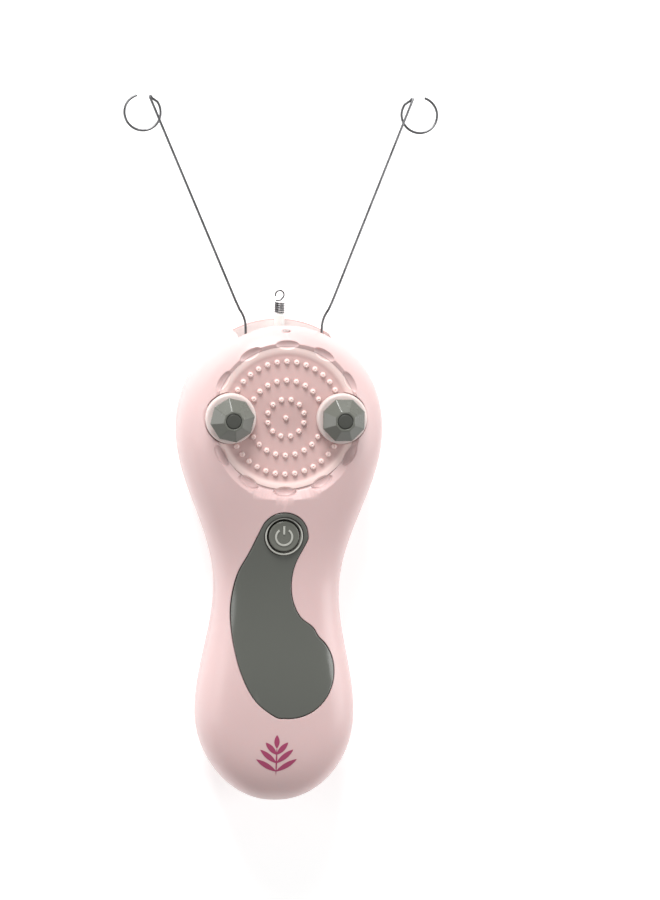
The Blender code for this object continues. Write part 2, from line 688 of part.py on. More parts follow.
def button_parts():
    """Bezel ring, power button with its raised mark, push switch and circuit board."""
    face = face_height(0.0, BUTTON_Y) + BEZEL_PROUD
    profile = ((BEZEL_RADIUS, 31.5), (BEZEL_RADIUS, face - 0.25), (BEZEL_RADIUS - 0.2, face))
    bezel = turned("button_bezel", 0.0, BUTTON_Y, profile, 40)
    cut(bezel, rod("shape", 0.0, BUTTON_Y, BEZEL_RADIUS - BEZEL_WIDTH, 20.0, 45.0, 40))
    finish(bezel, PALE, 0.3)

    top = face - 0.1
    flange = face - 5.0
    profile = (
        (1.6, flange - 1.4),
        (1.6, flange),
        (BUTTON_FLANGE, flange + 0.001),
        (BUTTON_FLANGE, flange + 0.9),
        (BUTTON_RADIUS, flange + 0.901),
        (BUTTON_RADIUS, top - 0.5),
        (BUTTON_RADIUS - 0.15, top - 0.15),
        (BUTTON_RADIUS - 0.5, top),
    )
    button = turned("power_button", 0.0, BUTTON_Y, profile, 30)
    arc = [math.radians(125.0 + 290.0 * i / 14) for i in range(15)]
    outer = MARK_RADIUS + MARK_STROKE / 2
    inner = MARK_RADIUS - MARK_STROKE / 2
    outside = [(outer * math.cos(a), BUTTON_Y - 0.2 + outer * math.sin(a)) for a in arc]
    inside = [(inner * math.cos(a), BUTTON_Y - 0.2 + inner * math.sin(a)) for a in reversed(arc)]
    join(button, prism("shape", outside + inside, top - 0.4, top + 0.2))
    bar = MARK_STROKE / 2
    bar_end = BUTTON_Y + MARK_RADIUS + 0.7
    join(button, box("shape", (-bar, BUTTON_Y + 0.6, top - 0.4), (bar, bar_end, top + 0.2)))
    finish(button, GREY_GREEN, 0.3, pivot=(0.0, BUTTON_Y, top))

    stem = flange - 1.4
    switch = box("push_switch", (-3.0, BUTTON_Y - 3.0, 22.7), (3.0, BUTTON_Y + 3.0, stem - 2.0))
    join(switch, rod("shape", 0.0, BUTTON_Y, 1.5, 23.0, stem - BUTTON_TRAVEL - FIT_GAP, 24))
    finish(switch, DARK, 0.5)
    board = box("circuit_board", (-9.0, BUTTON_Y - 17.8, 21.2), (9.0, BUTTON_Y + 11.2, 22.4))
    chips = ((-5.5, -11.8, 4.0, 5.0, 1.4), (4.5, -12.8, 3.0, 2.0, 1.0), (5.5, 8.2, 2.0, 3.0, 1.2))
    for x, ahead, wide, long, tall in chips:
        near = BUTTON_Y + ahead - long / 2
        chip = box("shape", (x - wide / 2, near, 22.0), (x + wide / 2, near + long, 22.4 + tall))
        join(board, chip)
    finish(board, BOARD, 0.5)


def gear_outline(x, y, teeth, turn=0.0, first=0, shown=None):
    """Involute tooth outline about a centre; shown limits how many teeth are drawn."""
    pitch = MODULE * teeth / 2
    base = pitch * math.cos(math.radians(PRESSURE_ANGLE))
    tip = pitch + MODULE * 0.9
    root = pitch - MODULE * 1.2
    lean = math.radians(PRESSURE_ANGLE)
    half = math.pi / (2 * teeth) - BACKLASH / (2 * pitch)

    def flank(r):
        a = math.acos(min(base / max(r, base), 1.0))
        return half + (math.tan(lean) - lean) - (math.tan(a) - a)

    radii = [root] + [max(root, base) + (tip - max(root, base)) * k / 2 for k in range(3)]
    points = []
    numbers = range(first, first + (shown or teeth))
    for number in numbers:
        middle = math.radians(turn) + 2 * math.pi * number / teeth
        rising = [(middle - flank(r), r) for r in radii]
        falling = [(middle + flank(r), r) for r in reversed(radii)]
        for a, r in rising + falling:
            points.append((x + r * math.cos(a), y + r * math.sin(a)))
    return points


def motor_parts():
    """Flat motor under the chassis plate, its shaft with the pinion, and its two screws."""
    high = MOTOR_LOW_Z + MOTOR_HEIGHT
    profile = (
        (MOTOR_RADIUS - 0.6, MOTOR_LOW_Z + 1.5),
        (MOTOR_RADIUS, MOTOR_LOW_Z + 2.0),
        (MOTOR_RADIUS, high - 0.6),
        (MOTOR_RADIUS - 0.6, high),
    )
    can = turned("motor_can", 0.0, MOTOR_Y, profile, 36)
    cut(can, rod("shape", 0.0, MOTOR_Y, MOTOR_SHAFT_RADIUS + RUNNING_GAP, 0.0, 40.0, 16))
    screw_hole = MOTOR_SCREW_RADIUS + RUNNING_GAP
    for side in (-1, 1):
        cut(can, rod("shape", side * MOTOR_SCREW_X, MOTOR_Y, screw_hole, high - 4.0, 40.0, 12))
    finish(can, STEEL, 0.3, 1.0)
    plate = rod("motor_end_plate", 0.0, MOTOR_Y, MOTOR_RADIUS - 1.2, MOTOR_LOW_Z, MOTOR_LOW_Z + 1.2, 36)
    finish(plate, DARK, 0.5)
    shaft = rod("motor_shaft", 0.0, MOTOR_Y, MOTOR_SHAFT_RADIUS, MOTOR_LOW_Z + 1.6, GEAR_LOW_Z + 4.0, 20)
    finish(shaft, STEEL, 0.2, 1.0, pivot=(0.0, MOTOR_Y, 0.0))
    outline = gear_outline(0.0, MOTOR_Y, PINION_TEETH, 90.0)
    pinion = prism("pinion", outline, GEAR_LOW_Z - 0.3, GEAR_LOW_Z + GEAR_THICKNESS + 0.4)
    cut(pinion, rod("shape", 0.0, MOTOR_Y, MOTOR_SHAFT_RADIUS + 0.05, 0.0, 40.0, 20))
    finish(pinion, BRASS, 0.3, 1.0, pivot=(0.0, MOTOR_Y, 0.0))
    plate_top = CHASSIS_LOW_Z + CHASSIS_THICKNESS
    for label, side in (("left", -1), ("right", 1)):
        profile = (
            (MOTOR_SCREW_RADIUS, high - 3.0),
            (MOTOR_SCREW_RADIUS, plate_top + FIT_GAP),
            (1.5, plate_top + FIT_GAP + 0.001),
            (1.5, plate_top + FIT_GAP + 0.8),
        )
        screw = turned(f"motor_screw_{label}", side * MOTOR_SCREW_X, MOTOR_Y, profile, 14)
        finish(screw, STEEL, 0.3, 1.0)


def gear_centre_y():
    """Where the crank gear meshes with the pinion."""
    return MOTOR_Y + MODULE * (PINION_TEETH + GEAR_TEETH) / 2


def crank_gear_parts():
    """Reduction gear with its crank pin, and the axle it turns on."""
    y = gear_centre_y()
    high = GEAR_LOW_Z + GEAR_THICKNESS
    outline = gear_outline(0.0, y, GEAR_TEETH, -90.0 + 180.0 / GEAR_TEETH)
    gear = prism("crank_gear", outline, GEAR_LOW_Z, high)
    join(gear, rod("shape", CRANK_RADIUS, y, CRANK_PIN_RADIUS, high - 1.0, high + 2.0, 16))
    cut(gear, rod("shape", 0.0, y, AXLE_RADIUS + RUNNING_GAP, 0.0, 40.0, 28))
    finish(gear, WHITE, 0.4, pivot=(0.0, y, 0.0))
    profile = (
        (AXLE_RADIUS, CHASSIS_LOW_Z - 1.2),
        (AXLE_RADIUS, high + 0.35),
        (AXLE_RADIUS + 0.8, high + 0.351),
        (AXLE_RADIUS + 0.8, high + 1.0),
    )
    finish(turned("gear_axle", 0.0, y, profile, 28), STEEL, 0.25, 1.0)


def chassis_plate():
    """Pale plate that carries the motor, the gear and the arm pivots."""
    high = CHASSIS_LOW_Z + CHASSIS_THICKNESS
    near = MOTOR_Y - 8.0
    corner = ARM_PIVOT_Y + 2.0
    far = MOUTH_START_Y + 2.5
    wide = CHASSIS_HALF_WIDTH
    narrow = wide - 4.5
    outline = ((-wide, near), (wide, near), (wide, corner), (narrow, far), (-narrow, far), (-wide, corner))
    plate = prism("chassis_plate", outline, CHASSIS_LOW_Z, high)
    for side in (-1, 1):
        for x, y in ((wide - 2.3, near + 2.5), (narrow, ARM_PIVOT_Y - 2.0)):
            join(plate, rod("shape", side * x, y, 2.0, WALL + 2 * FIT_GAP, high - 0.4, 16))
    join(plate, box("shape", (-3.2, MOUTH_START_Y - 2.0, HOOK_Z - 3.2), (3.2, far, high - 0.4)))
    spigot = rod("shape", 0.0, 0.0, POST_SPIGOT_RADIUS + FIT_GAP, -20.0, 20.0, 20)
    cut(plate, lie_along_y(spigot, 0.0, HOOK_Z, far - 0.5))
    cut(plate, rod("shape", 0.0, MOTOR_Y, 2.2, 0.0, 40.0, 24))
    screw_hole = MOTOR_SCREW_RADIUS + RUNNING_GAP
    for side in (-1, 1):
        cut(plate, rod("shape", side * MOTOR_SCREW_X, MOTOR_Y, screw_hole, 0.0, 40.0, 12))
        cut(plate, rod("shape", side * ARM_PIVOT_X, ARM_PIVOT_Y, PIVOT_PIN_RADIUS + 0.05, 0.0, 40.0, 20))
    cut(plate, rod("shape", 0.0, gear_centre_y(), AXLE_RADIUS + 0.05, 0.0, 40.0, 28))
    return finish(plate, WHITE, 0.45)


def arm_path(side):
    """Centre line of one arm: foot, knee, straight reach, hairpin and open eyelet."""
    splay = math.radians(ARM_SPLAY)
    lean = math.radians(ARM_LEAN)
    foot = Vector((*ARM_FOOT, 0.0))
    base = Vector((*ARM_BASE, 0.0))
    knee = Vector((*ARM_KNEE, 0.0))
    way = Vector((math.sin(splay), math.cos(splay), 0.0))
    tip = knee + way * ARM_REACH
    start = math.radians(EYELET_START)
    centre = tip - EYELET_RADIUS * Vector((math.cos(start), math.sin(start), 0.0))
    points = [foot, base - Vector((0.05, 1.5, 0.0))]
    guide = base + Vector((0.1, 3.0, 0.0))
    for i in range(1, 7):
        t = i / 7
        points.append(base * (1 - t) ** 2 + guide * 2 * t * (1 - t) + (knee - way) * t ** 2)
    points += [knee + way * 1.5, knee + way * ARM_REACH * 0.5, tip - way * 2.4]
    down = Vector((-math.sin(start), math.cos(start), 0.0))
    middle = tip - way * HAIRPIN_RISE + down * 0.75
    bend_start = tip - way * 1.2
    for i in range(8):
        a = math.pi * i / 8
        out = (middle - bend_start) * (1 - math.cos(a)) / 2
        points.append(bend_start + out + way * HAIRPIN_RISE * math.sin(a) + Vector((0.0, 0.0, -0.35 * i / 8)))
    steps = 28
    for i in range(3, steps + 1):
        a = start + math.radians(EYELET_SWEEP) * i / steps
        drop = min(i / 6, 1.0) * EYELET_DROP
        around = Vector((math.cos(a), math.sin(a), 0.0)) * EYELET_RADIUS
        points.append(centre + around - Vector((0.0, 0.0, max(drop, 0.35))))
    placed = []
    for p in points:
        beyond = max(p.y - ARM_KNEE[1], 0.0)
        low = beyond * math.sin(lean) - p.z * math.cos(lean)
        y = p.y - beyond * (1 - math.cos(lean)) + p.z * math.sin(lean)
        placed.append(Vector((side * p.x, y, ARM_Z - low)))
    return placed


def frame_middle_y():
    """Middle of the overall length, from the bottom end to the tips of the arms."""
    return (max(point.y for point in arm_path(1)) + ARM_WIRE_RADIUS) / 2


def carrier(label, side):
    """Arm carrier: hub, meshing sector, socket bar and, on the left, the slotted lever."""
    x = side * ARM_PIVOT_X
    low = ARM_Z - CARRIER_THICKNESS / 2
    high = ARM_Z + CARRIER_THICKNESS / 2
    tooth = 360.0 / SECTOR_TEETH
    turn = 0.0 if side < 0 else 180.0 + tooth / 2
    first = -(SECTOR_SHOWN // 2) - (1 if side > 0 else 0)
    shown = SECTOR_SHOWN + (1 if side > 0 else 0)
    rim = gear_outline(x, ARM_PIVOT_Y, SECTOR_TEETH, turn, first, shown)
    sector = [(x, ARM_PIVOT_Y)] + rim
    body = prism(f"arm_carrier_{label}", sector, low, high)
    join(body, rod("shape", x, ARM_PIVOT_Y, CARRIER_HUB_RADIUS, low, high, 28))
    foot = Vector((side * ARM_FOOT[0], ARM_FOOT[1], 0.0))
    base = Vector((side * ARM_BASE[0], ARM_BASE[1], 0.0))
    way = (base - foot).normalized()
    over = Vector((-way.y, way.x, 0.0)) * CARRIER_BAR_WIDTH / 2
    hub = Vector((x + side * 1.2, ARM_PIVOT_Y, 0.0))
    end = foot + way * 4.0
    bar = [hub - over, end - over, end + over, hub + over]
    if side < 0:
        bar = [hub + over, hub - over, end - over, end + over]
    join(body, prism("shape", [(p.x, p.y) for p in bar], low, high))
    if side < 0:
        far_y = ARM_PIVOT_Y - 12.5
        lever = ((x - 1.5, ARM_PIVOT_Y), (x + 1.2, ARM_PIVOT_Y), (x + 10.2, far_y), (x + 7.4, far_y - 3.0))
        join(body, prism("shape", lever, low, high))
    level = Vector((0.0, 0.0, ARM_Z))
    socket = [foot - way * 0.3 + level, end + way * 3.0 + level]
    cut(body, swept("shape", socket, ARM_WIRE_RADIUS + FIT_GAP, 10))
    cut(body, rod("shape", x, ARM_PIVOT_Y, PIVOT_PIN_RADIUS + RUNNING_GAP, 0.0, 40.0, 20))
    finish(body, WHITE, 0.4, pivot=(x, ARM_PIVOT_Y, ARM_Z))
    profile = (
        (PIVOT_PIN_RADIUS, CHASSIS_LOW_Z),
        (PIVOT_PIN_RADIUS, high + 0.3),
        (PIVOT_PIN_RADIUS + 0.9, high + 0.301),
        (PIVOT_PIN_RADIUS + 0.9, high + 1.0),
    )
    finish(turned(f"pivot_pin_{label}", x, ARM_PIVOT_Y, profile, 20), STEEL, 0.25, 1.0)
    wire = swept(f"arm_wire_{label}", arm_path(side), ARM_WIRE_RADIUS, 7)
    finish(wire, STEEL, 0.2, 1.0, pivot=(x, ARM_PIVOT_Y, ARM_Z), smooth=60.0)


def hook_parts():
    """Thread post, the small coil on its end, and the hook the thread is tied to."""
    profile = (
        (POST_SPIGOT_RADIUS, MOUTH_START_Y - 1.5),
        (POST_SPIGOT_RADIUS, MOUTH_START_Y + 3.0),
        (POST_RADIUS, MOUTH_START_Y + 3.001),
        (POST_RADIUS, POST_END_Y - 0.4),
        (POST_RADIUS - 0.3, POST_END_Y),
    )
    post = turned("thread_post", 0.0, 0.0, profile, 20)
    finish(lie_along_y(post, 0.0, HOOK_Z, 0.0), WHITE, 0.35)
    start = POST_END_Y + COIL_WIRE_RADIUS + 0.1
    steps = round(COIL_TURNS * 12)
    path = []
    for i in range(steps + 1):
        a = 2 * math.pi * i / 12
        y = start + COIL_PITCH * i / 12
        path.append((COIL_RADIUS * math.cos(a), y, HOOK_Z + COIL_RADIUS * math.sin(a)))
    finish(swept("hook_coil", path, COIL_WIRE_RADIUS, 5), STEEL, 0.2, 1.0, smooth=60.0)
    low = start + COIL_PITCH * COIL_TURNS + 2 * COIL_WIRE_RADIUS + 0.15
    path = [(-1.2, low, HOOK_Z), (-0.5, low, HOOK_Z), (0.15, low + 0.12, HOOK_Z)]
    for i in range(15):
        a = math.radians(-62.0 + 262.0 * i / 14)
        path.append((HOOK_RADIUS * math.cos(a), low + 1.75 + HOOK_RADIUS * math.sin(a), HOOK_Z))
    hook = swept("thread_hook", path, COIL_WIRE_RADIUS, 6)
    finish(hook, STEEL, 0.2, 1.0, pivot=(0.0, low, HOOK_Z), smooth=60.0)


def battery_parts():
    """Two cells side by side, their springs and tabs, and the bridge across the bottom."""
    for label, side in (("left", -1), ("right", 1)):
        x = side * CELL_X
        can_end = CELL_LENGTH - 1.5
        profile = [(CELL_RADIUS - 0.3, 0.0), (CELL_RADIUS, 0.3)]
        profile += [(CELL_RADIUS, can_end - 0.3), (CELL_RADIUS - 0.3, can_end)]
        profile += [(2.8, can_end + 0.001), (2.8, CELL_LENGTH - 0.2), (2.6, CELL_LENGTH)]
        cell = turned(f"battery_cell_{label}", 0.0, 0.0, profile, 22)
        if side < 0:
            end_over_end = Matrix.Rotation(math.pi, 4, "X")
            cell.data.transform(Matrix.Translation(Vector((0, 0, CELL_LENGTH))) @ end_over_end)
        lie_along_y(cell, x, CELL_Z, CELL_LOW_Y)
        finish(cell, BRASS, 0.35, 0.6)
        low = (x - 4.0, CONTACT_Y, CELL_Z - 4.9)
        high = (x + 4.0, CONTACT_Y + CONTACT_THICKNESS, CELL_Z + 5.1)
        tab = box(f"contact_tab_{label}", low, high)
        finish(tab, STEEL, 0.3, 1.0)
        path = []
        for i in range(41):
            a = 2 * math.pi * i / 12
            r = 3.2 - 0.8 * i / 40
            y = CONTACT_Y - 0.6 - 3.3 * i / 40
            path.append((x + r * math.cos(a), y, CELL_Z + r * math.sin(a)))
        finish(swept(f"contact_spring_{label}", path, 0.3, 5), STEEL, 0.3, 1.0, smooth=60.0)
    bridge_high = CELL_LOW_Y - 0.6
    bridge_low = bridge_high - CONTACT_THICKNESS
    bridge = box("contact_bridge", (-11.0, bridge_low, CELL_Z - 2.9), (11.0, bridge_high, CELL_Z + 4.1))
    finish(bridge, STEEL, 0.3, 1.0)


def housing_screws():
    """Four screws from the back into the front shell's bosses."""
    seat = SCREW_HEAD_Z + SCREW_HEAD_HEIGHT
    for number, (x, y) in enumerate(SCREW_PLACES):
        profile = (
            (SCREW_HEAD_RADIUS - 0.2, SCREW_HEAD_Z),
            (SCREW_HEAD_RADIUS, SCREW_HEAD_Z + 0.3),
            (SCREW_HEAD_RADIUS, seat),
            (SCREW_RADIUS, seat + 0.001),
            (SCREW_RADIUS, SCREW_HEAD_Z + SCREW_LENGTH),
        )
        screw = turned(f"housing_screw_{number + 1}", x, y, profile, 14)
        for low, high in (((-1.5, -0.25), (1.5, 0.25)), ((-0.25, -1.5), (0.25, 1.5))):
            slot_top = SCREW_HEAD_Z + 0.8
            cut(screw, box("shape", (x + low[0], y + low[1], 1.0), (x + high[0], y + high[1], slot_top)))
        finish(screw, STEEL, 0.3, 1.0)


def main():
    clear_scene()
    front_shell()
    back_shell()
    battery_cover()
    massage_pad()
    knob_set("left", -1, LEFT_KNOB_TURN)
    knob_set("right", 1, RIGHT_KNOB_TURN)
    inlay_panel()
    button_parts()
    motor_parts()
    crank_gear_parts()
    chassis_plate()
    carrier("left", -1)
    carrier("right", 1)
    hook_parts()
    battery_parts()
    housing_screws()


main()
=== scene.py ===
"""Looks of the cotton-thread epilator, laid out as an add-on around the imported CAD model.
"""

import json
import math

import bmesh
import bpy
from bpy.props import FloatProperty, FloatVectorProperty, PointerProperty
from mathutils import Matrix, Vector


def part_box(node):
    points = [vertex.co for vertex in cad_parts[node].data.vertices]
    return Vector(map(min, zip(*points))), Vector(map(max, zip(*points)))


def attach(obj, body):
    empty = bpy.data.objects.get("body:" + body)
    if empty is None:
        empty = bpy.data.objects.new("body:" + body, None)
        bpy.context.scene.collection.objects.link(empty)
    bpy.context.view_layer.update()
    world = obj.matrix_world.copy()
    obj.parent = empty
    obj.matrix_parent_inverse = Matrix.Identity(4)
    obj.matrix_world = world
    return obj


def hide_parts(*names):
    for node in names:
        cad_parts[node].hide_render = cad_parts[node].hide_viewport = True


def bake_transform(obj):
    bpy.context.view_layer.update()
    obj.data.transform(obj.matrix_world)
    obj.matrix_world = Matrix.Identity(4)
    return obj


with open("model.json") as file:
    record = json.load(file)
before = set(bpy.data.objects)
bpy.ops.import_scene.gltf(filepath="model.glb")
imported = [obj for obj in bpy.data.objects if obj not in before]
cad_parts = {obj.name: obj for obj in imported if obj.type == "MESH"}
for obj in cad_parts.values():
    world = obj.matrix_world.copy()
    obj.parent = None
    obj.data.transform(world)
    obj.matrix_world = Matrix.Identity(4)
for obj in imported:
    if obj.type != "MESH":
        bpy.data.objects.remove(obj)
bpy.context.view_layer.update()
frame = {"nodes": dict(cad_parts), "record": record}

bl_info = {
    "name": "Thread Epilator Looks",
    "version": (1, 0, 0),
    "blender": (4, 5, 0),
    "location": "3D View > Sidebar > Epilator",
    "description": "Builds the finished pieces, materials and studio of a cotton-thread epilator",
    "category": "Object",
}

MM = 0.001
SEAM_Z = 17.0
SEAM_GAP = 0.3
WALL = 2.0
FIT_GAP = 0.3
SQUARENESS_FACE = 3.0
SQUARENESS_BACK = 3.4
END_FULLNESS = 4.0
PAD_GAP = 0.015
ARM_PIVOT_Y = 134.0
BULB_RISE = 17.0
BULB_DROP = 18.0
WAIST_RISE = 14.5
WAIST_DROP = 15.5
HEAD_RISE = 19.5
HEAD_DROP = 18.5
COARSE = (8, 14, 48)
MEDIUM = (12, 20, 64)
CUT_LOW_Z = 20.0
CUT_HIGH_Z = 45.0

DIMPLES = 12
DIMPLE_DEPTH = 1.45
COLLAR_RADIUS = 7.9
COLLAR_SEAT_RADIUS = COLLAR_RADIUS + FIT_GAP
PIN_HOLE_RADIUS = 1.3
NUB_RINGS = ((0.0, 1), (5.85, 12), (11.7, 24), (17.6, 36))
# Heights in metres over which the pad's nub tips are painted pale: a painted highlight of the light from
# above.
NUB_PAINTED_HIGHLIGHT_HEIGHTS = (0.0325, 0.0328)

PANEL_TOP_RADIUS = 7.4
LOBE_RADIUS = 14.3
LOBE_X = 2.4
LOBE_Y = 42.8
BEZEL_SEAT_RADIUS = 6.2
BUTTON_BORE_RADIUS = 5.2
BUTTON_RADIUS = 4.9

CELL_X = 7.4
CELL_Z = 9.9
CELL_LOW_Y = 10.6
CELL_LENGTH = 50.0
BAY_RADIUS = 7.5
COVER_LENGTH = 62.7
SCREW_POST_RADIUS = 3.2
SCREW_WELL_RADIUS = 2.5
SCREW_WELL_HIGH_Z = 5.1

ARM_SPLAY = 22.4
ARM_LEAN = 12.0
ARM_REACH = 71.0
ARM_KNEE_Y = 157.0
ARM_Z = 24.0
EYELET_RADIUS = 5.65
EYELET_DROP = 1.25
HAIRPIN_DROP = 0.35

POST_END_Y = 153.4
POST_Z = 13.5
COIL_START_Y = POST_END_Y + 0.35
COIL_RADIUS = 1.4
COIL_PITCH = 0.58
COIL_TURNS = 5.5
COIL_STEPS = 40
COIL_WIRE_RADIUS = 0.25


def middle_mm(node):
    """Middle of a CAD node's box, in millimetres in the row frame."""
    low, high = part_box(node)
    return (low + high) / 2 / MM


def frame_shift():
    """How far the tool's own Y lies from the row frame's, read from the pivot pin's place."""
    return ARM_PIVOT_Y - middle_mm("pivot_pin_left").y


SHIFT_Y = frame_shift()
PAD_Y = middle_mm("motor_can").y + SHIFT_Y + 17.8
BUTTON_Y = middle_mm("power_button").y + SHIFT_Y
KNOB_X = middle_mm("knob_pin_right").x


class EpilatorBody(bpy.types.PropertyGroup):
    """Sizes of the housing, in millimetres."""

    length: FloatProperty(name="Length", description="Housing from end to end", default=151.7)
    bulb_y: FloatProperty(name="Bulb place", description="Widest place of the handle", default=27.6)
    bulb_half: FloatProperty(name="Bulb half width", description="Half width of the handle", default=24.8)
    waist_y: FloatProperty(name="Waist place", description="Narrowest place", default=66.9)
    waist_half: FloatProperty(name="Waist half width", description="Half width at the waist", default=19.5)
    head_y: FloatProperty(name="Head place", description="Widest place of the head", default=118.0)
    head_half: FloatProperty(name="Head half width", description="Half width of the head", default=32.2)


class EpilatorDetail(bpy.types.PropertyGroup):
    """Sizes of the small pieces, in millimetres."""

    pad_radius: FloatProperty(name="Pad radius", description="Massage pad", default=22.2)
    pad_top: FloatProperty(name="Pad height", description="Top of the pad above the table", default=32.4)
    nub_radius: FloatProperty(name="Nub radius", description="One nub of the pad", default=0.84)
    dimple_length: FloatProperty(name="Dimple length", description="Oval dents on the rim", default=7.6)
    dimple_width: FloatProperty(name="Dimple width", description="Oval dents on the rim", default=3.6)
    knob_radius: FloatProperty(name="Knob radius", description="Faceted knob", default=7.0)
    wire_radius: FloatProperty(name="Wire radius", description="Thread arms", default=0.4)
    emblem_size: FloatProperty(name="Emblem size", description="Printed sprig", default=12.5)


class EpilatorColours(bpy.types.PropertyGroup):
    """Colours of the finished pieces."""

    pink: FloatVectorProperty(
        name="Housing", description="Housing plastic", subtype="COLOR", size=3, default=(0.70, 0.50, 0.49)
    )
    # Darker than the housing: partly the pad's own tone, partly painted shade of its shallow recess.
    pad: FloatVectorProperty(
        name="Pad", description="Massage pad", subtype="COLOR", size=3, default=(0.66, 0.45, 0.43)
    )
    grey_green: FloatVectorProperty(
        name="Grips", description="Knobs and button", subtype="COLOR", size=3, default=(0.135, 0.138, 0.118)
    )
    inlay: FloatVectorProperty(
        name="Inlay", description="Inlay panel", subtype="COLOR", size=3, default=(0.108, 0.112, 0.098)
    )
    ink: FloatVectorProperty(
        name="Ink", description="Printed sprig", subtype="COLOR", size=3, default=(0.33, 0.05, 0.12)
    )


def body_sizes():
    return bpy.context.scene.epilator_body


def detail_sizes():
    return bpy.context.scene.epilator_detail


def colours():
    return bpy.context.scene.epilator_colours


# --- shapes -----------------------------------------------------------------------------------


def solid(name, points, faces):
    """A mesh object from points and faces, with its faces turned outwards."""
    mesh = bpy.data.meshes.new(name)
    mesh.from_pydata([tuple(p) for p in points], [], faces)
    shape = bmesh.new()
    shape.from_mesh(mesh)
    bmesh.ops.recalc_face_normals(shape, faces=shape.faces)
    shape.to_mesh(mesh)
    shape.free()
    thing = bpy.data.objects.new(name, mesh)
    bpy.context.scene.collection.objects.link(thing)
    return thing


def settle(thing):
    """Apply every modifier of an object to its mesh."""
    bpy.context.view_layer.update()
    shown = thing.evaluated_get(bpy.context.evaluated_depsgraph_get())
    result = bpy.data.meshes.new_from_object(shown)
    thing.modifiers.clear()
    thing.data = result
    return thing


def combine(target, other, operation):
    """Apply one Boolean to target and remove the other object."""
    step = target.modifiers.new("step", "BOOLEAN")
    step.operation = operation
    step.solver = "EXACT"
    step.object = other
    settle(target)
    bpy.data.objects.remove(other, do_unlink=True)
    return target


def cut(target, other):
    return combine(target, other, "DIFFERENCE")


def join(target, other):
    return combine(target, other, "UNION")


def keep(target, other):
    return combine(target, other, "INTERSECT")


def loops_solid(name, loops):
    """A closed solid through equal loops of points, flat at both ends."""
    count = len(loops[0])
    points = [p for loop in loops for p in loop]
    faces = [tuple(range(count))]
    for row in range(len(loops) - 1):
        for i in range(count):
            j = (i + 1) % count
            low = row * count
            faces.append((low + i, low + j, low + count + j, low + count + i))
    last = (len(loops) - 1) * count
    faces.append(tuple(last + i for i in range(count)))
    return solid(name, points, faces)


def prism(name, outline, low_z, high_z):
    return loops_solid(name, [[(x, y, z) for x, y in outline] for z in (low_z, high_z)])


def box(name, low, high):
    corners = ((low[0], low[1]), (high[0], low[1]), (high[0], high[1]), (low[0], high[1]))
    return prism(name, corners, low[2], high[2])


def circle(x, y, radius, count=96, turn=0.0):
    steps = [math.radians(turn) + 2 * math.pi * i / count for i in range(count)]
    return [(x + radius * math.cos(a), y + radius * math.sin(a)) for a in steps]


def rod(name, x, y, radius, low_z, high_z, count=96):
    return prism(name, circle(x, y, radius, count), low_z, high_z)


def turned(name, x, y, profile, count=96):
    """A solid turned about an upright axis from (radius, height) pairs, low to high."""
    return loops_solid(name, [[(px, py, z) for px, py in circle(x, y, r, count)] for r, z in profile])


def lie_along_y(thing, x, z, start_y):
    turn = Matrix.Rotation(math.radians(-90.0), 4, "X")
    thing.data.transform(Matrix.Translation(Vector((x, start_y, z))) @ turn)
    return thing


def swept(name, path, radius, sides=16):
    """A round wire along a path of points."""
    path = [Vector(p) for p in path]
    ways = []
    for i in range(len(path)):
        ways.append((path[min(i + 1, len(path) - 1)] - path[max(i - 1, 0)]).normalized())
    side = ways[0].orthogonal().normalized()
    loops = []
    for i, (point, way) in enumerate(zip(path, ways)):
        if i:
            side = ways[i - 1].rotation_difference(way) @ side
        side = (side - way * side.dot(way)).normalized()
        other = way.cross(side)
        steps = [2 * math.pi * k / sides for k in range(sides)]
        loops.append([tuple(point + radius * (math.cos(a) * side + math.sin(a) * other)) for a in steps])
    return loops_solid(name, loops)


def rounded_path(points, per_span=14):
    """A smooth curve through the given points."""
    points = [Vector(p) for p in points]
    first = points[0] * 2 - points[1]
    last = points[-1] * 2 - points[-2]
    padded = [first] + points + [last]
    path = []
    for i in range(1, len(padded) - 2):
        a, b, c, d = padded[i - 1 : i + 3]
        for step in range(per_span):
            t = step / per_span
            move = (c - a) * t + (2 * a - 5 * b + 4 * c - d) * t**2 + (3 * b - a - 3 * c + d) * t**3
            path.append(b + move / 2)
    return path + [points[-1]]


def ease(a, b, t):
    return a + (b - a) * (1 - math.cos(math.pi * t)) / 2


def rounded_end(u, fullness):
    return max(1 - abs(u) ** fullness, 0.0) ** (1 / fullness)


def section(y):
    """Half width, rise of the face and drop of the back at one place along the housing."""
    size = body_sizes()
    if y < size.bulb_y:
        u = (size.bulb_y - y) / size.bulb_y
        full = rounded_end(u, END_FULLNESS - 1.0)
        drop = BULB_DROP * rounded_end(u, END_FULLNESS)
        return size.bulb_half * rounded_end(u, 2.0), BULB_RISE * full, drop
    if y < size.waist_y:
        t = (y - size.bulb_y) / (size.waist_y - size.bulb_y)
        half = ease(size.bulb_half, size.waist_half, t)
        return half, ease(BULB_RISE, WAIST_RISE, t), ease(BULB_DROP, WAIST_DROP, t)
    if y < size.head_y:
        t = (y - size.waist_y) / (size.head_y - size.waist_y)
        half = ease(size.waist_half, size.head_half, t)
        return half, ease(WAIST_RISE, HEAD_RISE, t), ease(WAIST_DROP, HEAD_DROP, t)
    u = (y - size.head_y) / (size.length - size.head_y)
    full = rounded_end(u, END_FULLNESS)
    return size.head_half * rounded_end(u, 2.0), HEAD_RISE * full, HEAD_DROP * full


def face_height(x, y):
    """Height of the housing's face above the table."""
    half, rise, _ = section(y)
    return SEAM_Z + rise * rounded_end(min(abs(x / half), 1.0), SQUARENESS_FACE)


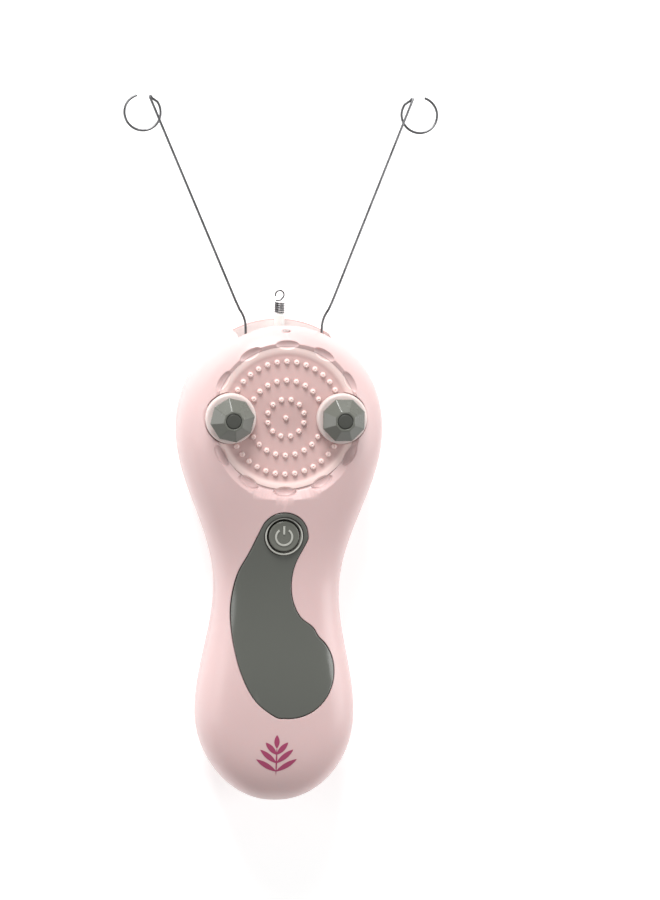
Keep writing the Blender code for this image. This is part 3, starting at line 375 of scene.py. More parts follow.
def body_form(name, inset, count_end=22, count_middle=44, ring=144):
    """The closed form of the whole housing, drawn in by inset."""
    size = body_sizes()
    quarter = math.pi / 2
    low = [size.bulb_y * (1 - math.cos(quarter * (i + 0.35) / count_end)) for i in range(count_end)]
    span = size.head_y - size.bulb_y
    centre = [size.bulb_y + span * i / count_middle for i in range(count_middle)]
    cap = size.length - size.head_y
    high = [size.head_y + cap * math.sin(quarter * i / (count_end + 0.35)) for i in range(count_end + 1)]
    stations = low + centre + high
    points = [(0.0, inset, SEAM_Z)]
    for y in stations:
        half, rise, drop = (max(value - inset, 0.3) for value in section(y))
        place = inset + y * (size.length - 2 * inset) / size.length
        for i in range(ring):
            a = 2 * math.pi * i / ring
            c = math.cos(a)
            s = math.sin(a)
            tall = rise if s >= 0 else drop
            power = SQUARENESS_FACE if s >= 0 else SQUARENESS_BACK
            reach = (abs(c / half) ** power + abs(s / tall) ** power) ** (-1 / power)
            points.append((reach * c, place, SEAM_Z + reach * s))
    points.append((0.0, size.length - inset, SEAM_Z))
    faces = []
    last = len(points) - 1
    for i in range(ring):
        j = (i + 1) % ring
        faces.append((0, 1 + i, 1 + j))
        for row in range(len(stations) - 1):
            k = 1 + row * ring
            faces.append((k + i, k + ring + i, k + ring + j, k + j))
        k = 1 + (len(stations) - 1) * ring
        faces.append((k + i, last, k + j))
    return solid(name, points, faces)


def slab(name, low_z, high_z):
    return box(name, (-60.0, -20.0, low_z), (60.0, 180.0, high_z))


def finish(thing, material, body, replaced=(), smooth=32.0):
    """Place a piece in metres, shade it, give it its material and tie it to its body.

    A piece that stretches between two bodies is given None and is tied to no body.
    """
    mesh = thing.data
    mesh.transform(Matrix.Scale(MM, 4) @ Matrix.Translation(Vector((0.0, -SHIFT_Y, 0.0))))
    mesh.shade_smooth()
    mesh.set_sharp_from_angle(angle=math.radians(smooth))
    weigh = thing.modifiers.new("weigh", "WEIGHTED_NORMAL")
    weigh.keep_sharp = True
    settle(thing)
    thing.data.materials.clear()
    thing.data.materials.append(material)
    if body:
        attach(thing, body)
    if replaced:
        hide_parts(*replaced)
    return thing


# --- materials --------------------------------------------------------------------------------


class Surface:
    """A material whose nodes are added step by step."""

    def __init__(self, name):
        self.material = bpy.data.materials.new(name)
        self.material.use_nodes = True
        self.nodes = self.material.node_tree.nodes
        self.links = self.material.node_tree.links
        self.shader = self.nodes["Principled BSDF"]
        self.place = self.nodes.new("ShaderNodeTexCoord").outputs["Object"]

    def link(self, a, b):
        self.links.new(a, b)

    def noise(self, scale, detail=3.0, roughness=0.5):
        node = self.nodes.new("ShaderNodeTexNoise")
        node.inputs["Scale"].default_value = scale
        node.inputs["Detail"].default_value = detail
        node.inputs["Roughness"].default_value = roughness
        self.link(self.place, node.inputs["Vector"])
        return node.outputs["Fac"]

    def spread(self, value, low, high, start=0.3, end=0.7):
        node = self.nodes.new("ShaderNodeMapRange")
        node.inputs["From Min"].default_value = start
        node.inputs["From Max"].default_value = end
        node.inputs["To Min"].default_value = low
        node.inputs["To Max"].default_value = high
        self.link(value, node.inputs["Value"])
        return node.outputs["Result"]

    def mix(self, factor, a, b, way="MIX"):
        node = self.nodes.new("ShaderNodeMix")
        node.data_type = "RGBA"
        node.blend_type = way
        if isinstance(factor, float):
            node.inputs[0].default_value = factor
        else:
            self.link(factor, node.inputs[0])
        for socket, value in ((node.inputs[6], a), (node.inputs[7], b)):
            if hasattr(value, "is_output"):
                self.link(value, socket)
            else:
                socket.default_value = (*value, 1.0)
        return node.outputs[2]

    def edges(self, start, end):
        """How far a place stands out as an edge, from 0 to 1."""
        geometry = self.nodes.new("ShaderNodeNewGeometry")
        return self.spread(geometry.outputs["Pointiness"], 0.0, 1.0, start, end)

    def relief(self, height, strength, distance, soft_edge=0.0):
        """Bump from a height, over edges softened by soft_edge metres."""
        bump = self.nodes.new("ShaderNodeBump")
        bump.inputs["Strength"].default_value = strength
        bump.inputs["Distance"].default_value = distance
        self.link(height, bump.inputs["Height"])
        if soft_edge:
            bevel = self.nodes.new("ShaderNodeBevel")
            bevel.samples = 6
            bevel.inputs["Radius"].default_value = soft_edge
            self.link(bevel.outputs["Normal"], bump.inputs["Normal"])
        self.link(bump.outputs["Normal"], self.shader.inputs["Normal"])


def shade(colour, factor):
    return tuple(min(channel * factor, 1.0) for channel in colour)


def moulded_plastic(name, colour, rough, grain=2600.0, soft_edge=0.0004, coat=0.15, glow=0.0, painted_highlight_heights=None):
    """Moulded plastic: faint mottling, fine spark-eroded grain, uneven gloss and lighter edges; with
    heights given, a painted highlight on the tops in place of the lighter edges.

    The last argument gives the heights in metres between which the plastic turns pale: a painted highlight
    on the nub tips, which stand up into the light from above.
    """
    s = Surface(name)
    mottle = s.noise(38.0, 4.0)
    base = s.mix(s.spread(mottle, 0.0, 1.0), shade(colour, 0.975), shade(colour, 1.02))
    # Sharp edges come out lighter; with heights given, the tops get a painted highlight instead.
    if painted_highlight_heights is None:
        lighter_edges_and_painted_tip_highlight = s.mix(s.edges(0.52, 0.62), base, shade(colour, 1.10))
    else:
        # Painted highlight: above these heights the nub tips turn pale pink, for the light from above on
        # the same plastic.
        split = s.nodes.new("ShaderNodeSeparateXYZ")
        s.link(s.place, split.inputs["Vector"])
        lighter_edges_and_painted_tip_highlight = s.mix(s.spread(split.outputs["Z"], 0.0, 0.8, *painted_highlight_heights), base, (0.95, 0.74, 0.70))
    s.link(lighter_edges_and_painted_tip_highlight, s.shader.inputs["Base Color"])
    s.link(s.spread(s.noise(210.0, 3.0), rough - 0.04, rough + 0.05), s.shader.inputs["Roughness"])
    s.shader.inputs["Coat Weight"].default_value = coat
    s.shader.inputs["Coat Roughness"].default_value = 0.2
    s.shader.inputs["Specular IOR Level"].default_value = 0.45
    if glow:
        s.shader.inputs["Subsurface Weight"].default_value = glow
        s.shader.inputs["Subsurface Radius"].default_value = (1.0, 0.45, 0.35)
        s.shader.inputs["Subsurface Scale"].default_value = 0.002
    s.relief(s.noise(grain, 2.0, 0.6), 0.08, 0.00006, soft_edge)
    return s.material


def drawn_wire(name, colour, rough):
    """Bright drawn spring wire with fine surface marks and darker spots."""
    s = Surface(name)
    stain = s.spread(s.noise(260.0, 4.0), 0.0, 1.0, 0.42, 0.72)
    s.link(s.mix(stain, colour, shade(colour, 0.6)), s.shader.inputs["Base Color"])
    s.link(s.spread(s.noise(1200.0, 2.0), rough, rough + 0.14), s.shader.inputs["Roughness"])
    s.shader.inputs["Metallic"].default_value = 1.0
    s.relief(s.noise(5200.0, 2.0), 0.15, 0.00003)
    return s.material


def brushed_metal(name, colour, rough):
    """Plated or machined metal with brushing across it and light tarnish."""
    s = Surface(name)
    stretch = s.nodes.new("ShaderNodeMapping")
    stretch.inputs["Scale"].default_value = (1.0, 60.0, 1.0)
    s.link(s.place, stretch.inputs["Vector"])
    lines = s.nodes.new("ShaderNodeTexNoise")
    lines.inputs["Scale"].default_value = 420.0
    s.link(stretch.outputs["Vector"], lines.inputs["Vector"])
    tarnish = s.mix(s.spread(s.noise(90.0), 0.0, 1.0), shade(colour, 0.82), colour)
    s.link(tarnish, s.shader.inputs["Base Color"])
    s.link(s.spread(lines.outputs["Fac"], rough, rough + 0.18), s.shader.inputs["Roughness"])
    s.shader.inputs["Metallic"].default_value = 1.0
    s.relief(lines.outputs["Fac"], 0.12, 0.00004, 0.0001)
    return s.material


def laminate_board(name):
    """Green laminate with a faint glass weave."""
    s = Surface(name)
    weave = s.nodes.new("ShaderNodeTexBrick")
    weave.inputs["Scale"].default_value = 420.0
    weave.inputs["Color1"].default_value = (0.02, 0.20, 0.08, 1.0)
    weave.inputs["Color2"].default_value = (0.03, 0.26, 0.11, 1.0)
    weave.inputs["Mortar"].default_value = (0.05, 0.34, 0.15, 1.0)
    s.link(s.place, weave.inputs["Vector"])
    s.link(weave.outputs["Color"], s.shader.inputs["Base Color"])
    s.link(s.spread(s.noise(150.0), 0.25, 0.4), s.shader.inputs["Roughness"])
    s.relief(weave.outputs["Fac"], 0.1, 0.00005)
    return s.material


def cell_jacket(name):
    """Printed shrink jacket: dark body and copper band by distance along the cell."""
    s = Surface(name)
    split = s.nodes.new("ShaderNodeSeparateXYZ")
    s.link(s.place, split.inputs["Vector"])
    band = s.spread(split.outputs["Y"], 0.0, 1.0, -0.0625, -0.0622)
    s.link(s.mix(band, (0.02, 0.02, 0.025), (0.55, 0.28, 0.09)), s.shader.inputs["Base Color"])
    s.link(s.spread(s.noise(120.0), 0.22, 0.34), s.shader.inputs["Roughness"])
    s.shader.inputs["Metallic"].default_value = 0.35
    s.relief(s.noise(900.0), 0.08, 0.00005)
    return s.material


def floor_paint(name):
    """Plain pale studio floor."""
    s = Surface(name)
    paint = s.mix(s.spread(s.noise(6.0), 0.0, 1.0), (0.94, 0.94, 0.94), (0.95, 0.95, 0.95))
    s.link(paint, s.shader.inputs["Base Color"])
    s.shader.inputs["Roughness"].default_value = 0.9
    s.shader.inputs["Specular IOR Level"].default_value = 0.1
    s.shader.inputs["Emission Color"].default_value = (1.0, 1.0, 1.0, 1.0)
    s.shader.inputs["Emission Strength"].default_value = 0.38
    return s.material


PLASTICS = {
    "housing": ("housing_pink", "pink", 0.36, 2600.0, 0.0005, 0.2, 0.12),
    # The pad's nub tips get a painted highlight by height.
    "pad": ("pad_pink", "pad", 0.46, 3200.0, 0.00012, 0.05, 0.1, NUB_PAINTED_HIGHLIGHT_HEIGHTS),
    "grip": ("grip_grey_green", "grey_green", 0.24, 3000.0, 0.00018, 0.5),
    "inlay": ("inlay_gloss", "inlay", 0.16, 1400.0, 0.0006, 0.6),
    "pale": ("pale_plastic", (0.74, 0.63, 0.60), 0.36, 2600.0, 0.0003, 0.2, 0.1),
    "rim": ("rim_plastic", (0.42, 0.42, 0.38), 0.30, 2600.0, 0.0002, 0.3),
    # Painted light: a pale, lit copy of the housing pink for the shaded floor of the mouth.
    "liner": ("liner_plastic", (0.90, 0.80, 0.78), 0.45, 2600.0, 0.0002, 0.05),
    "socket": ("socket_plastic", (0.062, 0.064, 0.055), 0.42, 2600.0, 0.0001, 0.1),
    "white": ("white_plastic", (0.86, 0.84, 0.81), 0.42, 2200.0, 0.0002, 0.05, 0.08),
    "dark": ("dark_plastic", (0.03, 0.03, 0.032), 0.45, 2400.0, 0.0002),
    "ink": ("printed_ink", "ink", 0.42, 3600.0, 0.0, 0.0),
}
OTHER_FINISHES = {
    "wire": lambda: drawn_wire("spring_wire", (0.20, 0.20, 0.205), 0.24),
    "steel": lambda: brushed_metal("plated_steel", (0.60, 0.60, 0.62), 0.24),
    "brass": lambda: brushed_metal("machined_brass", (0.72, 0.52, 0.22), 0.26),
    "board": lambda: laminate_board("circuit_laminate"),
    "cell": lambda: cell_jacket("cell_jacket"),
    "floor": lambda: floor_paint("studio_floor"),
}
MATERIALS = {}


def plastic(title, colour, *finish_values):
    """Moulded plastic in a colour, or in the panel's colour of that name."""
    if isinstance(colour, str):
        colour = tuple(getattr(colours(), colour))
    return moulded_plastic(title, colour, *finish_values)


def material(name):
    """One of the finished materials, made the first time it is asked for."""
    if name not in MATERIALS:
        MATERIALS[name] = plastic(*PLASTICS[name]) if name in PLASTICS else OTHER_FINISHES[name]()
    return MATERIALS[name]


SLOT_MATERIALS = {
    "pink_plastic": "housing",
    "pad_plastic": "pad",
    "panel_plastic": "inlay",
    "knob_plastic": "grip",
    "pale_plastic": "pale",
    "white_plastic": "white",
    "wire_steel": "wire",
    "motor_steel": "steel",
    "dark_plastic": "dark",
    "board": "board",
    "cell_jacket": "cell",
    "brass": "brass",
}


# --- pieces -----------------------------------------------------------------------------------


def dimple_cutter(name):
    """Oval cutters spaced round the rim of the pad."""
    size = detail_sizes()
    points = []
    faces = []
    sides = 40
    rows = 16
    for number in range(DIMPLES):
        a = 2 * math.pi * number / DIMPLES
        radius = size.pad_radius + 0.63
        x = radius * math.cos(a)
        y = PAD_Y + radius * math.sin(a)
        z = min(face_height(x, y), size.pad_top + 0.9) + 0.5
        start = len(points)
        points.append((x, y, z - DIMPLE_DEPTH))
        for row in range(1, rows):
            b = math.pi * row / rows
            for i in range(sides):
                c = 2 * math.pi * (i + 0.37) / sides
                along = size.dimple_length / 2 * math.sin(b) * math.cos(c)
                across = size.dimple_width / 2 * math.sin(b) * math.sin(c)
                px = x - along * math.sin(a) + across * math.cos(a)
                py = y + along * math.cos(a) + across * math.sin(a)
                points.append((px, py, z - DIMPLE_DEPTH * math.cos(b)))
        points.append((x, y, z + DIMPLE_DEPTH))
        last = len(points) - 1
        for i in range(sides):
            j = (i + 1) % sides
            faces.append((start, start + 1 + i, start + 1 + j))
            for row in range(rows - 2):
                k = start + 1 + row * sides
                faces.append((k + i, k + sides + i, k + sides + j, k + j))
            k = start + 1 + (rows - 2) * sides
            faces.append((k + i, last, k + j))
    return solid(name, points, faces)


def smooth_loop(outline, count):
    """Evenly spaced points on a smooth closed curve through the given points."""
    n = len(outline)
    fine = []
    for i in range(n):
        a, b, c, d = (Vector((*outline[(i + k) % n], 0.0)) for k in (-1, 0, 1, 2))
        for step in range(16):
            t = step / 16
            move = (c - a) * t + (2 * a - 5 * b + 4 * c - d) * t**2 + (3 * b - a - 3 * c + d) * t**3
            fine.append(b + move / 2)
    lengths = [0.0]
    for i in range(len(fine)):
        lengths.append(lengths[-1] + (fine[(i + 1) % len(fine)] - fine[i]).length)
    points = []
    k = 0
    for i in range(count):
        want = lengths[-1] * i / count
        while lengths[k + 1] < want:
            k += 1
        share = (want - lengths[k]) / max(lengths[k + 1] - lengths[k], 1e-9)
        point = fine[k].lerp(fine[(k + 1) % len(fine)], share)
        points.append((point.x, point.y))
    return points


def panel_outline(grow=0.0):
    """Comma-shaped outline: an arc round the button, a waist and a round lower lobe."""
    top = PANEL_TOP_RADIUS + grow
    lobe = LOBE_RADIUS + grow
    left = ((-10.4, 80.6), (-13.6, 74.0), (-15.3, 66.6), (-15.7, 59.4))
    left += ((-14.7, 50.8), (-12.2, 41.6), (-8.0, 33.9))
    right = ((9.6, 56.9), (5.6, 60.2), (3.2, 65.4), (2.7, 71.4), (3.9, 77.2))
    rim = []
    for i in range(13):
        a = math.radians(-12.0 + 172.0 * i / 12)
        rim.append((top * math.cos(a), BUTTON_Y + top * math.sin(a)))
    low = []
    for i in range(13):
        a = math.radians(252.0 + 158.0 * i / 12)
        low.append((LOBE_X + lobe * math.cos(a), LOBE_Y + lobe * math.sin(a)))
    left_grown = [(x - grow * 0.95, y + grow * 0.2) for x, y in left]
    right_grown = [(x + grow * 0.85, y + grow * 0.25) for x, y in right]
    return smooth_loop(rim + left_grown + low + right_grown, 220)


def mouth_cutter(name):
    return box(name, (-14.5, 139.0, 9.5), (14.5, 158.0, 27.0))


def build_front_shell():
    """Face half of the housing."""
    size = detail_sizes()
    shell = keep(body_form("front_shell_skin", 0.0), slab("shape", SEAM_Z + SEAM_GAP / 2, 60.0))
    cut(shell, body_form("shape", WALL, *COARSE))
    seat_low = size.pad_top - 2.3
    boss = rod("shape", 0.0, PAD_Y, size.pad_radius + 3.0, seat_low - 1.9, size.pad_top + 0.4, 64)
    join(boss, rod("shape", 0.0, BUTTON_Y, 8.4, face_height(0.0, BUTTON_Y) - 2.4, 34.0, 48))
    keep(boss, body_form("shape", 0.6, *COARSE))
    join(shell, boss)
    seat_radius = size.pad_radius + PAD_GAP
    rim_z = size.pad_top + 0.6
    flare = seat_radius + 5.6
    seat = ((seat_radius, seat_low), (seat_radius, rim_z), (flare, rim_z + 3.0), (flare, CUT_HIGH_Z))
    cut(shell, turned("shape", 0.0, PAD_Y, seat, 160))
    for side in (-1, 1):
        x = side * KNOB_X
        cut(shell, rod("shape", x, PAD_Y, COLLAR_SEAT_RADIUS, size.pad_top, CUT_HIGH_Z, 96))
        cut(shell, rod("shape", x, PAD_Y, PIN_HOLE_RADIUS, CUT_LOW_Z, CUT_HIGH_Z, 24))
    cut(shell, dimple_cutter("shape"))
    cut(shell, mouth_cutter("shape"))
    slot = [(1.35 * c, 149.6 + 0.45 * s) for c, s in circle(0, 0, 1, 40)]
    cut(shell, prism("shape", slot, 26.0, CUT_HIGH_Z))
    seat = prism("shape", panel_outline(FIT_GAP), CUT_LOW_Z, CUT_HIGH_Z)
    cut(seat, body_form("shape", 1.5, *MEDIUM))
    cut(shell, seat)
    cut(shell, rod("shape", 0.0, BUTTON_Y, BEZEL_SEAT_RADIUS, 31.2, CUT_HIGH_Z, 96))
    cut(shell, rod("shape", 0.0, BUTTON_Y, BUTTON_BORE_RADIUS, CUT_LOW_Z, CUT_HIGH_Z, 96))
    return finish(shell, material("housing"), "housing", ("front_shell",), 38.0)


def build_back_shell():
    """Back half of the housing with its screw wells and the battery opening."""
    shell = keep(body_form("back_shell_skin", 0.0), slab("shape", 0.0, SEAM_Z - SEAM_GAP / 2))
    cut(shell, keep(body_form("shape", WALL, *COARSE), slab("shape", WALL, 60.0)))
    high = SEAM_Z - SEAM_GAP / 2
    posts = box("shape", (-17.0, 65.8, 1.0), (17.0, 67.2, high))
    screws = [middle_mm(f"housing_screw_{number}") for number in range(1, 5)]
    for place in screws:
        join(posts, rod("shape", place.x, place.y + SHIFT_Y, SCREW_POST_RADIUS, 1.0, high, 24))
    keep(posts, body_form("shape", 0.6, *COARSE))
    join(shell, keep(posts, slab("shape", 0.5, high)))
    for place in screws:
        y = place.y + SHIFT_Y
        cut(shell, rod("shape", place.x, y, SCREW_WELL_RADIUS, -5.0, SCREW_WELL_HIGH_Z, 48))
        cut(shell, rod("shape", place.x, y, PIN_HOLE_RADIUS, -5.0, 30.0, 24))
    cut(shell, box("shape", (-16.0, -5.0, -5.0), (16.0, 63.0, 6.5)))
    cut(shell, mouth_cutter("shape"))
    cut_cell_bays(shell, CELL_LENGTH)
    return finish(shell, material("housing"), "housing", ("back_shell",), 38.0)


def cut_cell_bays(target, length):
    """Room for the two cells in a piece of the back; the two bays run into each other."""
    bays = []
    for side in (-1, 1):
        bay = rod("shape", 0.0, 0.0, BAY_RADIUS, -FIT_GAP, length + FIT_GAP, 64)
        bays.append(lie_along_y(bay, side * CELL_X, CELL_Z, CELL_LOW_Y))
    cut(target, join(*bays))


def build_mouth_painted_light_floor():
    """Pale sheet on the mouth floor under the arms and the thread post; its pale pink is painted light that
    lifts the shade under the lip.
    """
    liner = keep(body_form("mouth_liner", 0.35), box("shape", (-14.3, 141.8, 9.62), (14.3, 158.0, 9.95)))
    cut(liner, box("shape", (-3.6, 140.0, 9.0), (3.6, 144.4, 10.2)))
    return finish(liner, material("liner"), "housing")


def build_battery_cover():
    """Sliding cover with a raised-edge grip."""
    cover = keep(body_form("battery_cover_skin", 0.0), slab("shape", 0.0, 30.0))
    cut(cover, keep(body_form("shape", WALL, *COARSE), slab("shape", WALL, 60.0)))
    keep(cover, box("shape", (-15.7, -5.0, -5.0), (15.7, COVER_LENGTH, 6.2)))
    cut_cell_bays(cover, COVER_LENGTH)
    for number in range(4):
        y = 50.0 + 2.6 * number
        groove = [(-7.0 + 0.5 * (1 - c), y + 0.5 + 0.5 * s) for c, s in circle(0, 0, 1, 24) if c > 0]
        left = [(-x, yy) for x, yy in reversed(groove)]
        cut(cover, prism("shape", [(x, yy) for x, yy in left + groove], -1.0, 0.5))
    return finish(cover, material("housing"), "battery_cover", ("battery_cover",), 38.0)


def nub_points():
    """Where the nubs stand, in plan, round the pad's middle."""
    for radius, count in NUB_RINGS:
        for number in range(count):
            a = 2 * math.pi * (number + 0.5 * (count == 12)) / count
            x = radius * math.cos(a)
            y = radius * math.sin(a)
            if math.hypot(abs(x) - KNOB_X, y) > COLLAR_SEAT_RADIUS + detail_sizes().nub_radius:
                yield x, y


def build_pad():
    """Massage pad with domed nubs, each with a small pit in its tip."""
    size = detail_sizes()
    top = size.pad_top
    radius = size.pad_radius
    profile = [(radius - 0.4, top - 2.0), (radius, top - 1.6)]
    profile += [(radius, top + 0.54), (radius - 0.06, top + 0.6)]
    for i in range(9):
        t = i / 8
        profile.append((radius - 0.5 - 2.8 * t, top + 0.58 * (1 + math.cos(math.pi * t)) / 2))
    profile.append((radius - 6.0, top - 0.02))
    pad = turned("massage_pad_skin", 0.0, PAD_Y, profile, 160)
    nub = size.nub_radius
    rise = [(1.14, -0.3), (1.14, 0.01), (1.05, 0.10), (1.0, 0.26), (0.97, 0.45), (0.86, 0.64), (0.68, 0.81)]
    rise += [(0.50, 0.90), (0.38, 0.92), (0.28, 0.86), (0.20, 0.70)]
    sides = 20
    points = []
    faces = []
    for x, y in nub_points():
        start = len(points)
        for r, z in rise:
            points += [(px, py, top + z) for px, py in circle(x, PAD_Y + y, r * nub, sides)]
        faces.append(tuple(start + i for i in range(sides)))
        faces.append(tuple(start + (len(rise) - 1) * sides + i for i in range(sides)))
        for row in range(len(rise) - 1):
            for i in range(sides):
                j = (i + 1) % sides
                k = start + row * sides
                faces.append((k + i, k + j, k + sides + j, k + sides + i))
    join(pad, solid("shape", points, faces))
    cut(pad, dimple_cutter("shape"))
    for side in (-1, 1):
        x = side * KNOB_X
        cut(pad, rod("shape", x, PAD_Y, COLLAR_SEAT_RADIUS, top + 0.05, CUT_HIGH_Z, 96))
        cut(pad, rod("shape", x, PAD_Y, 1.5, CUT_LOW_Z, CUT_HIGH_Z, 24))
    return finish(pad, material("pad"), "housing", ("massage_pad",), 33.0)


def build_knob(label, side, turn):
    """Collar, faceted knob with slightly blunted edges, and its pin."""
    size = detail_sizes()
    x = side * KNOB_X
    low = size.pad_top + FIT_GAP
    wide = COLLAR_RADIUS
    profile = [(wide - 0.15, low), (wide, low + 0.15), (wide, low + 1.2)]
    for i in range(1, 8):
        a = math.pi / 2 * i / 7
        profile.append((wide - 1.0 + math.cos(a), low + 1.2 + 0.8 * math.sin(a)))
    profile += [(5.4, low + 1.98), (4.9, low + 1.8), (4.4, low + 1.8)]
    collar = turned(f"knob_collar_{label}_skin", x, PAD_Y, profile, 96)
    cut(collar, rod("shape", x, PAD_Y, PIN_HOLE_RADIUS, CUT_LOW_Z, 50.0, 32))
    finish(collar, material("pale"), "housing", (f"knob_collar_{label}",))

    foot = size.pad_top + 2.6
    top = foot + 6.7
    rings = ((3.6, foot), (size.knob_radius, foot + 2.2), (size.knob_radius, foot + 3.4), (3.2, top))
    loops = [[(px, py, z) for px, py in circle(x, PAD_Y, r, 8, turn)] for r, z in rings]
    knob = loops_solid(f"knob_{label}_skin", loops)
    blunt = knob.modifiers.new("blunt", "BEVEL")
    blunt.width = 0.16
    blunt.segments = 3
    blunt.limit_method = "ANGLE"
    blunt.angle_limit = math.radians(12.0)
    settle(knob)
    well = ((2.45, top - 1.0), (2.45, top - 0.12), (2.75, top + 0.2), (2.75, top + 5.0))
    cut(knob, turned("shape", x, PAD_Y, well, 64))
    cut(knob, rod("shape", x, PAD_Y, PIN_HOLE_RADIUS, CUT_LOW_Z, 60.0, 32))
    finish(knob, material("grip"), f"knob_{label}", (f"knob_{label}",), 24.0)

    under = size.pad_top - 4.5
    profile = [(2.3, under - 1.0), (2.3, under), (1.2, under + 0.01), (1.2, top - 0.7), (2.3, top - 0.69)]
    profile += [(2.3, top - 0.3), (2.15, top - 0.16), (1.9, top - 0.1), (0.9, top - 0.14)]
    pin = turned(f"knob_pin_{label}_skin", x, PAD_Y, profile, 64)
    finish(pin, material("socket"), "housing", (f"knob_pin_{label}",))


def build_panel():
    """Glossy inlay with a turned-down edge."""
    panel = prism("inlay_panel_skin", panel_outline(), CUT_LOW_Z, CUT_HIGH_Z)
    keep(panel, body_form("shape", -0.12))
    cut(panel, body_form("shape", 1.2, *MEDIUM))
    cut(panel, rod("shape", 0.0, BUTTON_Y, BEZEL_SEAT_RADIUS, CUT_LOW_Z, CUT_HIGH_Z, 96))
    return finish(panel, material("inlay"), "housing", ("inlay_panel",), 40.0)


def power_mark(name, top):
    """Raised open ring and bar of the usual on-off sign."""
    arc = [math.radians(125.0 + 290.0 * i / 40) for i in range(41)]
    outline = []
    for radius, turns in ((2.85, arc), (2.25, reversed(arc))):
        outline += [(radius * math.cos(a), BUTTON_Y - 0.2 + radius * math.sin(a)) for a in turns]
    mark = prism(name, outline, top - 0.3, top + 0.1)
    join(mark, box("shape", (-0.3, BUTTON_Y + 0.6, top - 0.28), (0.3, BUTTON_Y + 3.2, top + 0.09)))
    return mark


def build_button():
    """Bezel ring and power button."""
    face = face_height(0.0, BUTTON_Y) + 0.35
    profile = [(5.95, 31.5), (5.95, face - 0.3), (5.87, face - 0.1), (5.7, face), (5.5, face)]
    bezel = turned("button_bezel_skin", 0.0, BUTTON_Y, profile, 128)
    narrow = BUTTON_BORE_RADIUS
    bore = [(narrow, CUT_LOW_Z), (narrow, face - 1.5), (5.45, face - 1.2)]
    bore += [(5.45, face - 0.1), (5.65, face + 0.3)]
    cut(bezel, turned("shape", 0.0, BUTTON_Y, bore, 128))
    finish(bezel, material("rim"), "housing", ("button_bezel",))

    top = face - 0.1
    flange = face - 5.0
    side = BUTTON_RADIUS
    profile = [(1.6, flange - 1.4), (1.6, flange), (5.9, flange + 0.001), (5.9, flange + 0.9)]
    profile += [(side, flange + 0.901), (side, top - 1.5), (4.75, top - 1.2), (4.75, top - 0.4)]
    profile += [(4.7, top - 0.16), (4.56, top - 0.04), (4.36, top), (4.2, top - 0.02)]
    profile += [(3.9, top - 0.1), (2.9, top - 0.14), (1.2, top - 0.15)]
    button = turned("power_button_skin", 0.0, BUTTON_Y, profile, 96)
    finish(button, material("grip"), "power_button", ("power_button",))
    return finish(power_mark("power_mark", top), material("rim"), "power_button")


def arm_path(side):
    """Centre line of one arm: foot, knee, straight reach, hairpin and open eyelet."""
    splay = math.radians(ARM_SPLAY)
    lean = math.radians(ARM_LEAN)
    foot = Vector((11.6, 141.0, 0.0))
    base = Vector((12.0, 150.5, 0.0))
    knee = Vector((14.6, ARM_KNEE_Y, 0.0))
    way = Vector((math.sin(splay), math.cos(splay), 0.0))
    tip = knee + way * ARM_REACH
    start = math.radians(110.0)
    centre = tip - EYELET_RADIUS * Vector((math.cos(start), math.sin(start), 0.0))
    points = [foot, base - Vector((0.05, 1.5, 0.0))]
    for i in range(1, 14):
        t = i / 14
        guide = base + Vector((0.1, 3.0, 0.0))
        points.append(base * (1 - t) ** 2 + (knee - way) * t**2 + guide * 2 * t * (1 - t))
    points += [knee + way * 1.5, knee + way * ARM_REACH / 2, tip - way * 2.4]
    down = Vector((-math.sin(start), math.cos(start), 0.0))
    bend_start = tip - way * 1.2
    middle = tip - way * 0.9 + down * 0.75
    for i in range(14):
        a = math.pi * i / 14
        out = (middle - bend_start) * (1 - math.cos(a)) / 2
        low = Vector((0.0, 0.0, -HAIRPIN_DROP * i / 14))
        points.append(bend_start + out + way * 0.9 * math.sin(a) + low)
    steps = 84
    for i in range(9, steps + 1):
        a = start + math.radians(322.0) * i / steps
        drop = min(i / 18, 1.0) * EYELET_DROP
        around = Vector((math.cos(a), math.sin(a), 0.0)) * EYELET_RADIUS
        points.append(centre + around - Vector((0.0, 0.0, max(drop, HAIRPIN_DROP))))
    placed = []
    for p in points:
        beyond = max(p.y - ARM_KNEE_Y, 0.0)
        low = beyond * math.sin(lean) - p.z * math.cos(lean)
        y = p.y - beyond * (1 - math.cos(lean)) + p.z * math.sin(lean)
        placed.append(Vector((side * p.x, y, ARM_Z - low)))
    return placed


def build_arm(label, side):
    """One spring-wire arm."""
    wire = swept(f"arm_wire_{label}_skin", arm_path(side), detail_sizes().wire_radius, 16)
    return finish(wire, material("wire"), f"arm_{label}", (f"arm_wire_{label}",), 70.0)


